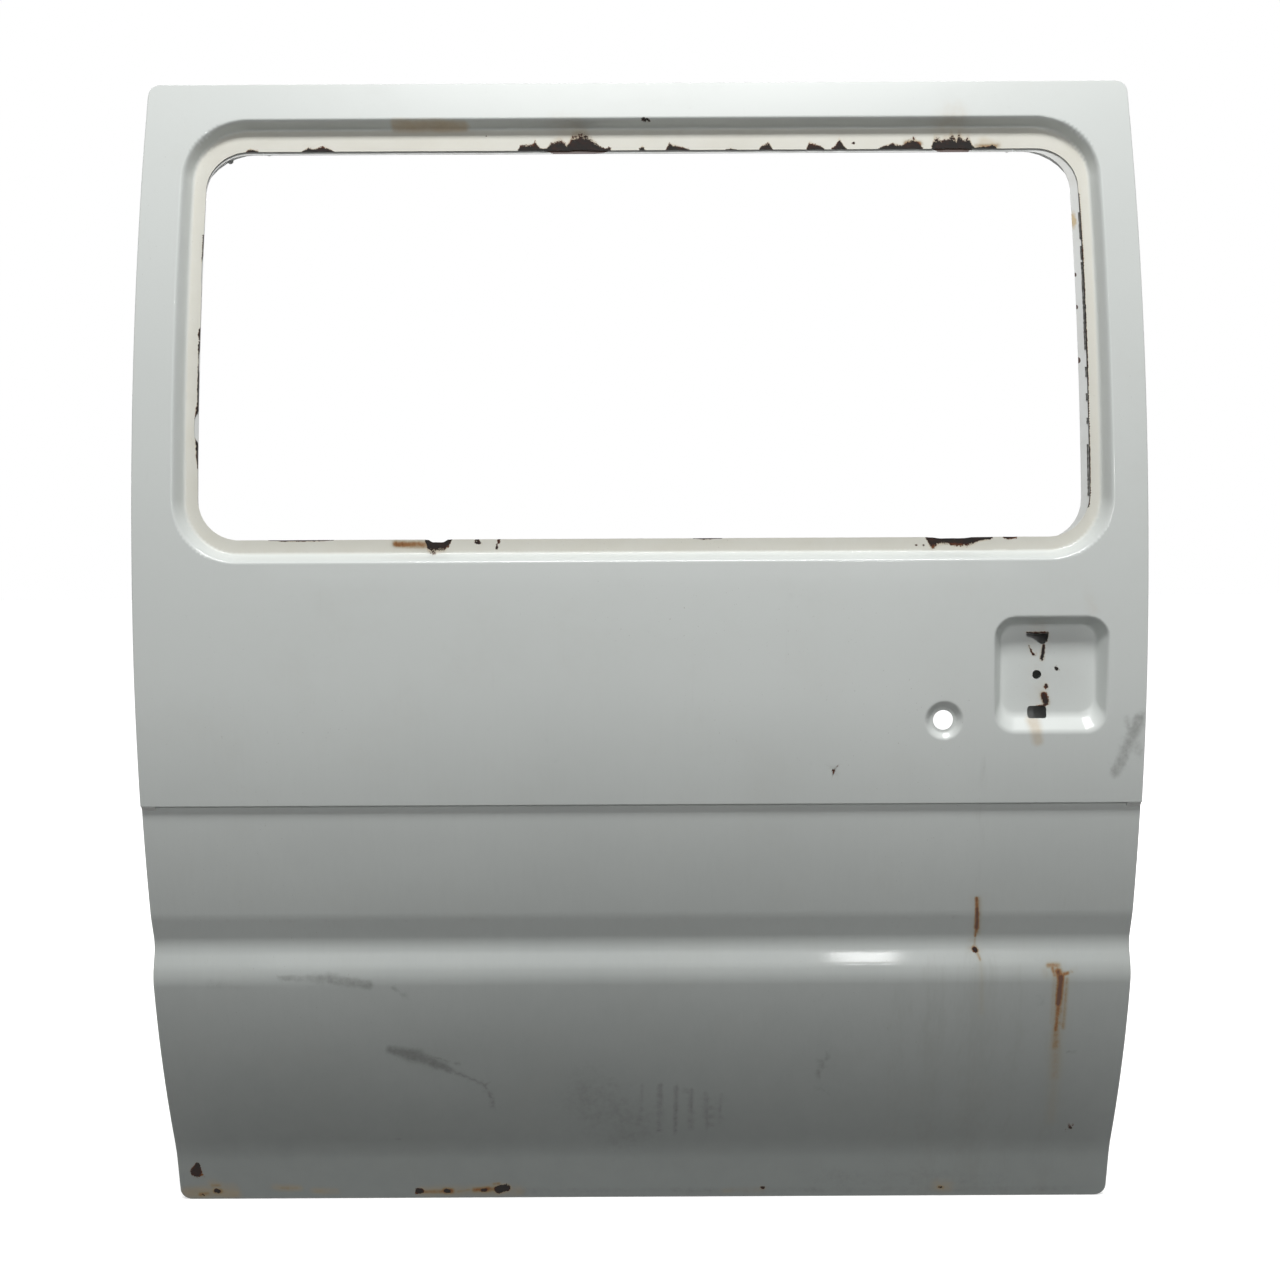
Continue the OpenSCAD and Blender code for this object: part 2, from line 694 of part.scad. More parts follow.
// The service holes, as [x, z, width, height]: each row fills the panel between its rims and webs
row_x = pillar_w + rim_w;
function hole_row(shares, z0, z1) =
    let (room = door_w - 2 * row_x - web_w * (len(shares) - 1))
    [for (i = [0 : len(shares) - 1])
        let (before = [for (k = [0 : 1 : i - 1]) shares[k] * room + web_w])
        [row_x + (i > 0 ? before * [for (b = before) 1] : 0), z0, shares[i] * room, z1 - z0]];
upper_holes = hole_row(upper_row, rib_z + rib_w / 2, waist_rail_z - rim_w);
lower_holes = hole_row(lower_row, sill_rail_z + rim_w, rib_z - rib_w / 2);
split_z = rib_z - 0.16 * rib_w;      // where the lower panel ends under the upper one
split_lap = 0.2 * rib_w;             // width of the lap between them
rib_bead_z = rib_z + 0.24 * rib_w;   // height of the bead on the rib

// The panel as a block, with its beads; its sides stand one layer higher, to lie close under the pillars,
// and above the height drop_z it stands one layer lower
module panel_block(d, drop_z) {
    difference() {
        behind_smooth(0);
        behind_smooth(panel_depth - sheet + d);
        difference() {
            behind_smooth(panel_depth - layer - sheet + d);
            span(-clear, door_w + clear, -clear, drop_z - sheet + d);
        }
    }
    side_w = pillar_w + joggle - sheet + d;
    for (x0 = [0, door_w - side_w])
        difference() {
            span(x0, x0 + side_w, 0, door_h);
            behind_smooth(rail_depth - sheet + d);
        }
    with_offset(d) children();
}

// One sheet of the panel from z0 to z1 with its holes; below and above, it is carried on by laps
module panel_sheet(z0, z1, lap_below, lap_above, drop_z, holes) {
    side = pillar_w + joggle - layer;
    difference() {
        intersection() {
            panel_block(sheet, drop_z) children();
            union() {
                span(side, door_w - side, z0 - lap_below, z1 + lap_above);
                span(pillar_w - lap, door_w - pillar_w + lap, z0 + butt, z1 - butt);
            }
            behind_smooth(panel_depth / 4);
        }
        panel_block(0, drop_z) children();
        for (h = holes)
            along_y(-over, far) polygon(round_rect(h[0], h[1], h[0] + h[2], h[1] + h[3], service_r));
    }
}

// Beads down the webs between the holes of a row
module web_beads(row) {
    for (h = [for (i = [1 : len(row) - 1]) row[i]])
        bead_z(h[0] - web_w / 2, h[1] + bead_r, h[1] + h[3] - bead_r, panel_depth);
}

// The upper panel, under the waist rail
module inner_upper_panel() color("lightgray")
    panel_sheet(split_z, waist_rail_z, 0, lap, door_h + over, upper_holes) {
        web_beads(upper_holes);
        bead_x(row_x + bead_inset, door_w - row_x - bead_inset, rib_bead_z, panel_depth);
    }

// The lower panel, joggled at the top to lie under the upper one
module inner_lower_panel() color("lightgray")
    panel_sheet(sill_rail_z, split_z, lap, split_lap, split_z - joggle + layer, lower_holes)
        web_beads(lower_holes);

// A hat-section bar along x, bonded behind the skin at the height z
function face_slope(z) = (skin_y(z - 5) - skin_y(z + 5)) / 10;
module in_bar_frame(z) {
    end = flange_w + sheet + bar_end_gap;
    along_x(end, door_w - end) translate([skin_y(z), z]) rotate(atan(face_slope(z))) children();
}
module bar(z) {
    c = bar_crown / 2;
    f = c + bar_wall;
    e = f + bar_flange;
    y0 = sheet + mastic_t;
    y1 = y0 + bar_d;
    t = bar_t;
    half = [[y1 - t, c - t], [y0, f - t], [y0, e], [y0 + t, e], [y0 + t, f], [y1, c]];
    other = [for (i = [5 : -1 : 0]) [half[i][0], -half[i][1]]];
    in_bar_frame(z) polygon(concat(half, other));
}
module mastic(z) {
    middle = bar_crown / 2 + bar_wall + bar_flange / 2;
    size = [mastic_t - mastic_clear - 2 * seam, bar_flange - 2 * mastic_inset];
    for (s = [-1, 1])
        in_bar_frame(z) translate([sheet + mastic_clear + seam, s * middle - size[1] / 2]) square(size);
}

module belt_bar() color("darkgray") bar(belt_bar_z);
module upper_bar() color("darkgray") bar(upper_bar_z);
module lower_bar() color("darkgray") bar(lower_bar_z);
module belt_mastic() color("dimgray") mastic(belt_bar_z);
module upper_mastic() color("dimgray") mastic(upper_bar_z);
module lower_mastic() color("dimgray") mastic(lower_bar_z);

// The plate behind the handle recess that spreads the load of the handle
handle_plate_insets = [15, 12, 15, 8];   // at the rear, below, at the front and above
handle_plate_r = 14;
handle_play = 0.6;
module handle_backplate() color("slategray") difference() {
    along_y(scoop_d + layer, scoop_d + layer + handle_plate)
        polygon(scoop_rect(-handle_plate_insets, handle_plate_r, 0));
    handle_openings(handle_play);
}

// The plate behind the latch
latch_plate_margins = [4, 11];
latch_plate_r = 5;
module latch_backplate() color("slategray") difference() {
    half = [latch_pcd / 2, latch_pcd / 2] + latch_plate_margins;
    low = [latch_y, latch_z] - half;
    high = [latch_y, latch_z] + half;
    along_x(front_wall - layer - plate, front_wall - layer)
        polygon(round_rect(low[0], low[1], high[0], high[1], latch_plate_r));
    latch_cuts();
}

// The plates behind the seats
module hinge_backplate() color("slategray") difference() {
    along_y(hinge_plane - layer - plate, hinge_plane - layer)
        polygon(seat_outline(hinge_x, hinge_z, hinge_seat, -sheet - plate_inset));
    bolt_holes(hinge_pattern, hinge_plane, bolt_hole_r);
}
module upper_arm_backplate() color("slategray") difference() {
    along_y(upper_arm_plane - layer - plate, upper_arm_plane - layer)
        polygon(seat_outline(door_w - upper_arm_x, upper_arm_z, upper_arm_seat, -sheet - plate_inset));
    bolt_holes(upper_arm_pattern, upper_arm_plane, bolt_hole_r);
}
module lower_arm_backplate() color("slategray") difference() {
    translate([door_w - lower_arm_x, lower_arm_plane - layer - plate, lower_arm_z]) rotate([-90, 0, 0])
        cylinder(h = plate, r = lower_arm_seat_r - sheet - plate_inset, $fn = 72);
    bolt_holes(lower_arm_pattern, lower_arm_plane, bolt_hole_r);
}

// Hexagonal weld nuts
module nut(size) difference() {
    linear_extrude(size[1]) polygon([for (w = [0 : 60 : 300]) size[0] / sqrt(3) * [cos(w), sin(w)]]);
    translate([0, 0, -1]) cylinder(h = size[1] + 2, r = size[2], $fn = 32);
}
module nuts_behind(pattern, plane) {
    for (p = pattern) translate([p[0], plane - layer - plate - seam, p[1]]) rotate([90, 0, 0]) nut(m8_nut);
}
module hinge_nuts() color("goldenrod") nuts_behind(hinge_pattern, hinge_plane);
module upper_arm_nuts() color("goldenrod") nuts_behind(upper_arm_pattern, upper_arm_plane);
module lower_arm_nuts() color("goldenrod") nuts_behind(lower_arm_pattern, lower_arm_plane);
module latch_nuts() color("goldenrod") for (p = latch_pattern)
    translate([front_wall - layer - plate - seam, p[0], p[1]]) rotate([0, -90, 0]) nut(m6_nut);

// Rubber plugs that close the tooling holes of the pillars: a lip on the face and a hollow stem
plug_lip_w = 3;
plug_lip_h = 1.8;
plug_stem = 4;
plug_play = 0.4;
plug_wall = 1.8;
plug_gap = 0.2;
module blanking_plugs() color("black") for (p = plug_places) on_face(p[0], p[1]) difference() {
    stem_r = tooling_r - plug_play;
    union() {
        translate([0, 0, plug_gap]) cylinder(h = plug_lip_h, r = tooling_r + plug_lip_w, $fn = 48);
        translate([0, 0, -plug_stem]) cylinder(h = plug_stem + 1, r = stem_r, $fn = 48);
    }
    translate([0, 0, -plug_stem - 1]) cylinder(h = plug_stem + 1.5, r = stem_r - plug_wall, $fn = 48);
}

// Moves the origin to the middle of the hinge seat's face
module place() translate([-hinge_x, -hinge_plane, -hinge_z]) children();

place() outer_skin();
place() inner_front_pillar();
place() inner_rear_pillar();
place() inner_header();
place() inner_waist_rail();
place() inner_upper_panel();
place() inner_lower_panel();
place() inner_sill_rail();
place() belt_bar();
place() upper_bar();
place() lower_bar();
place() belt_mastic();
place() upper_mastic();
place() lower_mastic();
place() handle_backplate();
place() latch_backplate();
place() hinge_backplate();
place() upper_arm_backplate();
place() lower_arm_backplate();
place() latch_nuts();
place() hinge_nuts();
place() upper_arm_nuts();
place() lower_arm_nuts();
place() blanking_plugs();
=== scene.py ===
import math

import bmesh
import bpy
import numpy as np
from mathutils import Euler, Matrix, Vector
from mathutils.bvhtree import BVHTree
from mathutils.geometry import delaunay_2d_cdt


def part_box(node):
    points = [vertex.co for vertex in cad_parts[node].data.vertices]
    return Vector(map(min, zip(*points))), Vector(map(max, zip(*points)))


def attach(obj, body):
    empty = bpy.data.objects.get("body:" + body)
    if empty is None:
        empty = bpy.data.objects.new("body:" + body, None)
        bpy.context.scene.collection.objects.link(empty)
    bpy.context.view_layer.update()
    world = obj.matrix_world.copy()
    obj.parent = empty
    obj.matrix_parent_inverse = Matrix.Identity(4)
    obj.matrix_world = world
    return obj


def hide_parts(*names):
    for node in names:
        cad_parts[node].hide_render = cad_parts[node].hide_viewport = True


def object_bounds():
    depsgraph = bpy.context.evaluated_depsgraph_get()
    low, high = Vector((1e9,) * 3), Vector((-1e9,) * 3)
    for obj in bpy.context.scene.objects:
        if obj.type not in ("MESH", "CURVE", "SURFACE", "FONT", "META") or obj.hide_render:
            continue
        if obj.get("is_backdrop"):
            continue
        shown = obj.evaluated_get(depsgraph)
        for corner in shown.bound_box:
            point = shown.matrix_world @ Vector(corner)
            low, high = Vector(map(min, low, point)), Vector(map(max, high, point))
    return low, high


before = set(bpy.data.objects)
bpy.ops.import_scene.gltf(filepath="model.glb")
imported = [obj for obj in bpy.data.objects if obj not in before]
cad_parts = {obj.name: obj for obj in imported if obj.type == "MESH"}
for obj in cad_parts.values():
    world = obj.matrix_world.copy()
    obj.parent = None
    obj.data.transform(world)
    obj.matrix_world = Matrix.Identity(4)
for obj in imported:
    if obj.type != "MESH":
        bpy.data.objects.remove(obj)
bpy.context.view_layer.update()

# The door is drawn as in the press shop: x from its rear edge, z from its bottom edge and y, the
# depth, from its widest line into the van, all in millimetres. That corner is the skin's lowest one.
MM = 0.001
door_corner = np.array(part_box("outer_skin")[0])
DOOR_W, DOOR_H = [round((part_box("outer_skin")[1][i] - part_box("outer_skin")[0][i]) / MM) for i in (0, 2)]


def in_frame(x, y, z):
    return np.stack(np.broadcast_arrays(x, y, z), axis=-1) * MM + door_corner


def in_scene(name, data):
    """A new object with this data, at the origin of the scene."""
    thing = bpy.data.objects.new(name, data)
    bpy.context.scene.collection.objects.link(thing)
    return thing


# The photographer stood 1.5 m in front of the door, a little above its middle, and held the camera
# with a slight tilt.
camera_data = bpy.data.cameras.new("camera")
camera_data.sensor_width = 36
camera_data.lens = 41.6
camera = in_scene("camera", camera_data)
camera.location = in_frame(510, -1483, 697)
camera.rotation_euler = Euler((math.radians(90 - 2.9), math.radians(0.28), 0), "XYZ")
bpy.context.scene.camera = camera

# The outer panel is one sheet of 0.9 mm steel, drawn over a punch into the side's two curves with a
# step, a cove and a crease, a recess round the window, a handle recess and a dish for the lock. Its
# edge is folded back over the inner frame. Rust has eaten its window flange and sits on its lower edge.
SHEET = 0.9
WAIST_Z, UPPER_R, LOWER_R = 635, 1880, 1435
STEP_Z, STEP_D, STEP_RUN, STEP_ROUND = 452, 4, 1.6, 0.5
COVE_TOP_Z, COVE_Z, COVE_Y = 334, 301, 47.5
RIDGE_Z, RIDGE_Y, RIDGE_SLOPE = 271, 38, 0.18
CREASE_Z, CREASE_Y, TUCK = 61, 103, 117
OPENING = (63, 724, 965, 1128)
OPENING_R = 42
FLOOR = (49, 709, 977, 1152)
FLOOR_R = 56
RECESS_D, RECESS_RUN = 14, 7
RECESS_LIP_ROUND, RECESS_FLOOR_ROUND = 2.2, 1.6
SCOOP_LIP, SCOOP_LIP_R = (860, 508, 987, 648), 26
SCOOP_FLOOR, SCOOP_FLOOR_R = (875, 543, 972, 635), 16
SCOOP_TOP_Y, SCOOP_FLOOR_Y = -10, 16
SCOOP_LIP_FILLET, SCOOP_FLOOR_FILLET = 2.4, 3
LOCK_X, LOCK_Z, LOCK_R = 816, 539, 10
LOCK_DISH_R, LOCK_FLAT_R, LOCK_DISH_D = 19, 13, 5
HANDLE_X, HANDLE_HOLE_Z, HANDLE_HOLE_R = 912.5, 584, 4.6
LOWER_SLOT, LOWER_SLOT_R = (903, 539.5, 922.5, 552), 3.2
# The handle's upper slot is torn: its lower side runs over the bent piece of sheet left in it
TORN_SLOT = [
    (901, 626), (923.8, 626), (923, 620), (920.5, 615.5), (917, 614.5), (915, 616), (911.5, 619),
    (906.5, 621.6), (902, 622.4),
]
FOLD_R, HEM_W = 1.45, 10
WHOLE_DOOR, CORNER_R = (0, 0, DOOR_W, DOOR_H), 12


def bend(x, w):
    """Zero below x = 0 and x above it, with the corner rounded over w to each side."""
    return np.where(x > w, x, np.where(x < -w, 0.0, (x + w) ** 2 / (4 * w)))


def from_rect(x, z, rect, r):
    """Distance outside a rectangle with corners of radius r, negative inside."""
    x0, z0, x1, z1 = rect
    across = np.abs(x - (x0 + x1) / 2) - (x1 - x0) / 2 + r
    up = np.abs(z - (z0 + z1) / 2) - (z1 - z0) / 2 + r
    return np.hypot(np.maximum(across, 0), np.maximum(up, 0)) + np.minimum(np.maximum(across, up), 0) - r


def arc(radius, z):
    return radius - np.sqrt(radius ** 2 - (z - WAIST_Z) ** 2)


cove_top_y = arc(LOWER_R, COVE_TOP_Z) + STEP_D
panel_h = RIDGE_Z - CREASE_Z
panel_r = panel_h ** 2 / (2 * (CREASE_Y - RIDGE_Y - RIDGE_SLOPE * panel_h))
above_cove = (COVE_Y - cove_top_y) / (COVE_Z - COVE_TOP_Z)
below_cove = (COVE_Y - RIDGE_Y) / (COVE_Z - RIDGE_Z)
above_lip = (WAIST_Z - COVE_TOP_Z) / -math.sqrt(LOWER_R ** 2 - (WAIST_Z - COVE_TOP_Z) ** 2)
# Height, change of slope and half the rounding of each body line
BODY_LINES = [
    (COVE_TOP_Z, above_lip - above_cove, 4.5),
    (COVE_Z, above_cove - below_cove, 10),
    (RIDGE_Z, below_cove + RIDGE_SLOPE, 12),
    (CREASE_Z, -RIDGE_SLOPE - panel_h / panel_r + (TUCK - CREASE_Y) / CREASE_Z, 13),
]
# Soft dents from use: place, reach across and up, and depth
DENTS = [
    (300, 165, 60, 28, 0.5), (430, 120, 70, 45, 0.5), (550, 105, 60, 40, -0.4), (700, 150, 25, 40, 0.5),
    (350, 560, 150, 60, 0.35), (620, 540, 120, 50, -0.3), (250, 400, 120, 30, 0.3),
    (800, 400, 90, 40, -0.3),
]


def side_depth(z):
    """The side's curve with its body lines, each rounded as the punch leaves it."""
    h = RIDGE_Z - z
    y = np.select(
        [z >= WAIST_Z, z >= COVE_TOP_Z, z >= COVE_Z, z >= RIDGE_Z, z >= CREASE_Z],
        [arc(UPPER_R, z), arc(LOWER_R, z), COVE_Y + above_cove * (z - COVE_Z),
         RIDGE_Y + below_cove * (z - RIDGE_Z), RIDGE_Y + RIDGE_SLOPE * h + h ** 2 / (2 * panel_r)],
        CREASE_Y + (TUCK - CREASE_Y) * (CREASE_Z - z) / CREASE_Z)
    in_step = bend(STEP_Z + STEP_RUN - z, STEP_ROUND) - bend(STEP_Z - z, STEP_ROUND)
    y = y + np.where(z >= COVE_TOP_Z, STEP_D / STEP_RUN * in_step, 0)
    for place, turn, w in BODY_LINES:
        y = y + turn * np.maximum(w - np.abs(z - place), 0) ** 2 / (4 * w)
    return y


def scoop_depth(x, z):
    """Depth of the handle recess, whose walls run from the lip's round rectangle to the floor's."""
    above, below = np.full(np.shape(x), -0.6), np.full(np.shape(x), 1.5)
    for _ in range(24):
        t = (above + below) / 2
        level = [lip + (low - lip) * t for lip, low in zip(SCOOP_LIP, SCOOP_FLOOR)]
        in_level = from_rect(x, z, level, SCOOP_LIP_R + (SCOOP_FLOOR_R - SCOOP_LIP_R) * t) < 0
        above, below = np.where(in_level, t, above), np.where(in_level, below, t)
    deep = SCOOP_TOP_Y + (SCOOP_FLOOR_Y - SCOOP_TOP_Y) * above
    return deep - bend(deep - SCOOP_FLOOR_Y, SCOOP_FLOOR_FILLET)


def skin_depth(x, z):
    """Depth of the outer face."""
    y = side_depth(z)
    out = from_rect(x, z, FLOOR, FLOOR_R)
    in_recess = bend(RECESS_RUN - out, RECESS_LIP_ROUND) - bend(-out, RECESS_FLOOR_ROUND)
    y = y + RECESS_D / RECESS_RUN * in_recess
    y = y + bend(scoop_depth(x, z) - y, SCOOP_LIP_FILLET)
    r = np.hypot(x - LOCK_X, z - LOCK_Z)
    in_dish = bend(LOCK_DISH_R - r, 1.5) - bend(LOCK_FLAT_R - r, 1)
    y = y + LOCK_DISH_D / (LOCK_DISH_R - LOCK_FLAT_R) * in_dish
    for cx, cz, rx, rz, deep in DENTS:
        y = y + deep * np.exp(-((x - cx) / rx) ** 2 - ((z - cz) / rz) ** 2)
    return y


def outward(x, z):
    """Unit normal of the outer face."""
    h = 0.05
    slope_x = (skin_depth(x + h, z) - skin_depth(x - h, z)) / (2 * h)
    slope_z = (skin_depth(x, z + h) - skin_depth(x, z - h)) / (2 * h)
    n = np.stack([slope_x, -np.ones_like(slope_x), slope_z], axis=-1)
    return n / np.linalg.norm(n, axis=-1, keepdims=True)


def waves(s, seed):
    """A rough line between 0 and 1 along s, as rust eats an edge."""
    rng = np.random.default_rng(seed)
    total = np.zeros_like(s, dtype=float)
    for size, share in ((34, 0.4), (13, 0.3), (5.5, 0.2), (2.6, 0.1)):
        knots = rng.random(400)
        place = np.abs(s) / size
        i = place.astype(int) % 398
        f = place - place.astype(int)
        total = total + share * (knots[i] * (1 - f) + knots[i + 1] * f)
    return total


# How far rust reaches from the opening's edge into the window flange: place along the edge, reach
FLANGE_RUST = {
    "high": [
        (102, 0), (106, 4), (112, 2), (116, 0), (160, 0), (166, 5), (172, 3), (181, 6), (190, 3), (194, 0),
        (385, 0), (387, 6), (395, 7), (401, 6.5), (403, 12), (405, 7), (408, 3), (415, 3), (418.5, 8),
        (427, 12), (431, 11), (436, 6.5), (439, 10), (441.5, 16), (448, 18), (455, 18.5), (460, 14.5),
        (466, 10), (470, 5), (477, 1.5), (480, 5), (482, 0), (511, 0), (514, 5.5), (516, 4), (518, 0),
        (539, 0), (542, 8), (546, 6), (558, 3), (564, 0), (600, 0), (606, 1.5), (614, 0), (636, 0),
        (639, 5), (642, 5.5), (646, 8.5), (649, 4), (650, 0), (685, 0), (688, 8), (695, 5.5), (702, 3),
        (704, 0), (711, 0), (716, 5), (720, 13), (724, 5), (728, 0), (760, 0), (764, 3), (775, 7),
        (785, 4.5), (788, 6), (791, 9), (798, 12.5), (803, 6.5), (807, 0), (815, 0), (817, 8), (819, 13),
        (823, 12), (826, 9), (830, 12), (833, 11), (837, 16), (840, 12), (842, 11), (845, 17), (848, 11.5),
        (851, 10), (855, 13.5), (858, 6), (860, 1), (868, 2.5), (874, 2), (879, 5), (882, 3), (884, 0),
    ],
    "low": [
        (130, 0), (150, 1.5), (190, 1), (205, 0), (293, 0), (294, 10), (297, 13), (302, 14.5), (308, 13),
        (313, 11), (316, 8), (319, 3.5), (320, 0), (343, 0), (345, 3), (348, 0), (560, 0), (575, 1.5),
        (598, 0), (799, 0), (802, 7.5), (805, 11.5), (809, 10), (812, 7.5), (818, 7.5), (821, 7),
        (825, 8.5), (831, 9), (837, 9.5), (842, 9), (848, 7.5), (852, 5), (858, 4), (865, 3), (866.5, 0),
        (876, 0), (882, 3), (888, 2), (892, 0),
    ],
    "front": [
        (745, 0), (770, 1), (800, 1.4), (850, 0.8), (905, 1.6), (990, 1.4), (1060, 0.8), (1090, 0),
    ],
    "rear": [
        (795, 0), (806, 1.8), (822, 3), (840, 3.4), (857, 3), (866, 1), (877, 2), (905, 1.2), (922, 2),
        (928, 0), (932, 2.4), (937, 2), (942, 0), (1000, 0), (1010, 1), (1050, 0),
    ],
}
# Bites out of the flange: edge, middle and half its length along it, depth
FLANGE_BITES = [
    ("rear", 839, 15, 4.2), ("rear", 905, 12, 0.9), ("rear", 1000, 16, 0.8), ("low", 306, 9, 2.6),
    ("low", 826, 20, 1.6), ("high", 450, 12, 1), ("high", 838, 14, 0.9),
]


def edge_of(x, z):
    """Which edge of the window a place is nearest to, and how far along it the place lies."""
    gaps = np.stack([OPENING[3] - z, z - OPENING[1], OPENING[2] - x, x - OPENING[0]])
    nearest = gaps.argmin(axis=0)
    return np.array(list(FLANGE_RUST))[nearest], np.where(nearest < 2, x, z)


def flange_reach(x, z):
    nearest, along = edge_of(x, z)
    reach = np.zeros_like(x, dtype=float)
    for edge, rows in FLANGE_RUST.items():
        reach = np.where(nearest == edge, np.interp(along, *np.array(rows).T), reach)
    return reach


def eaten_from(x, z):
    """How deep the opening's edge is eaten: everywhere a little, more at the bites."""
    nearest, along = edge_of(x, z)
    eaten = 0.3 * waves(x + z * 1.3, 5) + 0.03 * flange_reach(x, z)
    for k, (edge, middle, half, deep) in enumerate(FLANGE_BITES):
        rough = 0.6 + 0.8 * waves(along, 10 + k)
        bite = deep * rough * np.clip(1.25 - np.abs((along - middle) / half) ** 2.5, 0, 1)
        eaten = np.maximum(eaten, np.where(nearest == edge, bite, 0))
    return eaten


def round_rect(rect, r, spacing):
    """Points round a rectangle with rounded corners, anticlockwise from its right side's lower end."""
    x0, z0, x1, z1 = rect
    turn = max(4, math.ceil(math.pi / 2 * r / min(spacing, max(r / 4, 1))))
    angles = np.linspace(0, math.pi / 2, turn, endpoint=False)
    points = []
    centres = [(x1 - r, z1 - r), (x0 + r, z1 - r), (x0 + r, z0 + r), (x1 - r, z0 + r)]
    for k, (cx, cz) in enumerate(centres):
        a = angles + k * math.pi / 2
        points += list(zip(cx + r * np.cos(a), cz + r * np.sin(a)))
        turned = r * np.array((math.cos((k + 1) * math.pi / 2), math.sin((k + 1) * math.pi / 2)))
        end = np.array((cx, cz)) + turned
        start = np.array(centres[(k + 1) % 4]) + turned
        count = max(1, round(np.linalg.norm(start - end) / spacing))
        points += [tuple(end + (start - end) * i / count) for i in range(count)]
    return np.array(points)


def grown(rect, g):
    return (rect[0] - g, rect[1] - g, rect[2] + g, rect[3] + g)


def circle(cx, cz, r, count):
    a = np.arange(count) / count * 2 * math.pi
    return np.stack([cx + r * np.cos(a), cz + r * np.sin(a)], axis=-1)


def filed(loop, spacing, seed):
    """A loop of corners as a closed line of close points, a little rough as torn steel is."""
    corners = np.array(loop, float)
    points = []
    for start, end in zip(corners, np.roll(corners, -1, axis=0)):
        count = max(1, round(np.linalg.norm(end - start) / spacing))
        points += [start + (end - start) * i / count for i in range(count)]
    points = np.array(points)
    for _ in range(2):
        points = (np.roll(points, 1, axis=0) + 2 * points + np.roll(points, -1, axis=0)) / 4
    run = np.arange(len(points)) * spacing
    return points + np.stack([waves(run, seed) - 0.5, waves(run, seed + 1) - 0.5], axis=-1) * 1.1


window_edge = round_rect(OPENING, OPENING_R, 1.3)
away = np.stack([from_rect(window_edge[:, 0] + 0.1, window_edge[:, 1], OPENING, OPENING_R),
                 from_rect(window_edge[:, 0], window_edge[:, 1] + 0.1, OPENING, OPENING_R)], axis=-1)
away = away / np.linalg.norm(away, axis=-1, keepdims=True)
openings = [window_edge + away * eaten_from(window_edge[:, 0], window_edge[:, 1])[:, None]]
openings += [round_rect(LOWER_SLOT, LOWER_SLOT_R, 1.0), filed(TORN_SLOT[::-1], 1.0, 8)]
openings += [circle(HANDLE_X, HANDLE_HOLE_Z, HANDLE_HOLE_R, 28), circle(LOCK_X, LOCK_Z, LOCK_R, 64)]

# Scale, stains, washed-down rust, grime with one line of painted shade along the cove, and dirt runs by
# place: from x, z to x, z, half-width at each end, strength
SCALE_MARKS = [
    (857.7, 294.5, 859, 293, 2.4, 2.2, 0.9), (932, 590.4, 933.5, 589, 2, 1.6, 0.9),
    (922.2, 573.5, 922, 571.5, 1.6, 2, 0.9), (920, 563, 922, 556, 3.4, 3.4, 0.8),
    (919.2, 613.5, 917.6, 600, 1.5, 2.2, 0.85), (904.5, 613, 908.5, 604, 0.8, 1.1, 0.7),
    (908.5, 604, 912.5, 605, 1, 0.9, 0.65), (901.5, 626.5, 923.5, 626.5, 0.7, 0.7, 0.75),
    (924, 626, 922, 618, 0.8, 0.8, 0.75), (912, 552.6, 922, 552.6, 0.8, 1, 0.7),
    (19.6, 34, 22, 43, 6, 2.6, 1.05), (40, 10.5, 42, 10, 2.8, 2.4, 0.95),
    (24.5, 6, 25.5, 5, 1.6, 1.6, 0.6), (262, 9, 265, 9, 3.4, 3.2, 1), (293, 9, 296, 9, 3, 2.6, 0.85),
    (333, 10, 336, 10, 2.4, 2.6, 0.75), (351, 10.5, 359, 13, 4.6, 4.4, 1.05),
    (641, 11.5, 643, 11.5, 1.6, 1.8, 0.75), (837, 10.8, 838.5, 10.6, 1.8, 1.6, 0.7),
    (973, 85, 975, 85, 1.6, 1.6, 0.7), (513.5, 1159.8, 522, 1157.6, 2, 2.2, 0.7),
    (704.8, 488.8, 705.4, 488.2, 1.5, 1.5, 0.65), (352, 1143.5, 353.5, 1143.5, 1.2, 1.2, 0.7),
    (733.5, 1136.5, 735, 1135, 1.6, 1.4, 0.85), (789, 715.8, 790, 715.6, 1.2, 1.2, 0.75),
    (796, 716, 798, 715.4, 1.4, 1.2, 0.75), (367.8, 723.5, 365, 714, 1.3, 1, 0.85),
    (344, 720.5, 349, 720, 1.3, 1.2, 0.85),
]
STAIN_MARKS = [
    (908, 536, 911, 518, 9, 7, 0.6), (913, 626, 911, 545, 20, 15, 0.22),
    (258, 1155, 330, 1154, 6, 5, 0.75), (8, 8, 60, 8, 9, 8, 0.6), (104, 14, 132, 13, 6, 5, 0.5),
    (146, 10, 172, 9, 5, 5, 0.45), (270, 9, 372, 9, 8, 9, 0.45), (36, 18, 60, 16, 8, 6, 0.4),
    (957, 700, 962, 650, 16, 10, 0.2), (834, 12, 846, 12, 10, 9, 0.4), (600, 8, 640, 8, 6, 6, 0.3),
    (440, 1152, 452, 1146, 24, 14, 0.3), (838, 1152, 842, 1146, 24, 14, 0.4),
    (870, 1134, 884, 1132, 8, 6, 0.5), (962, 1090, 964, 1010, 7, 6, 0.3),
]
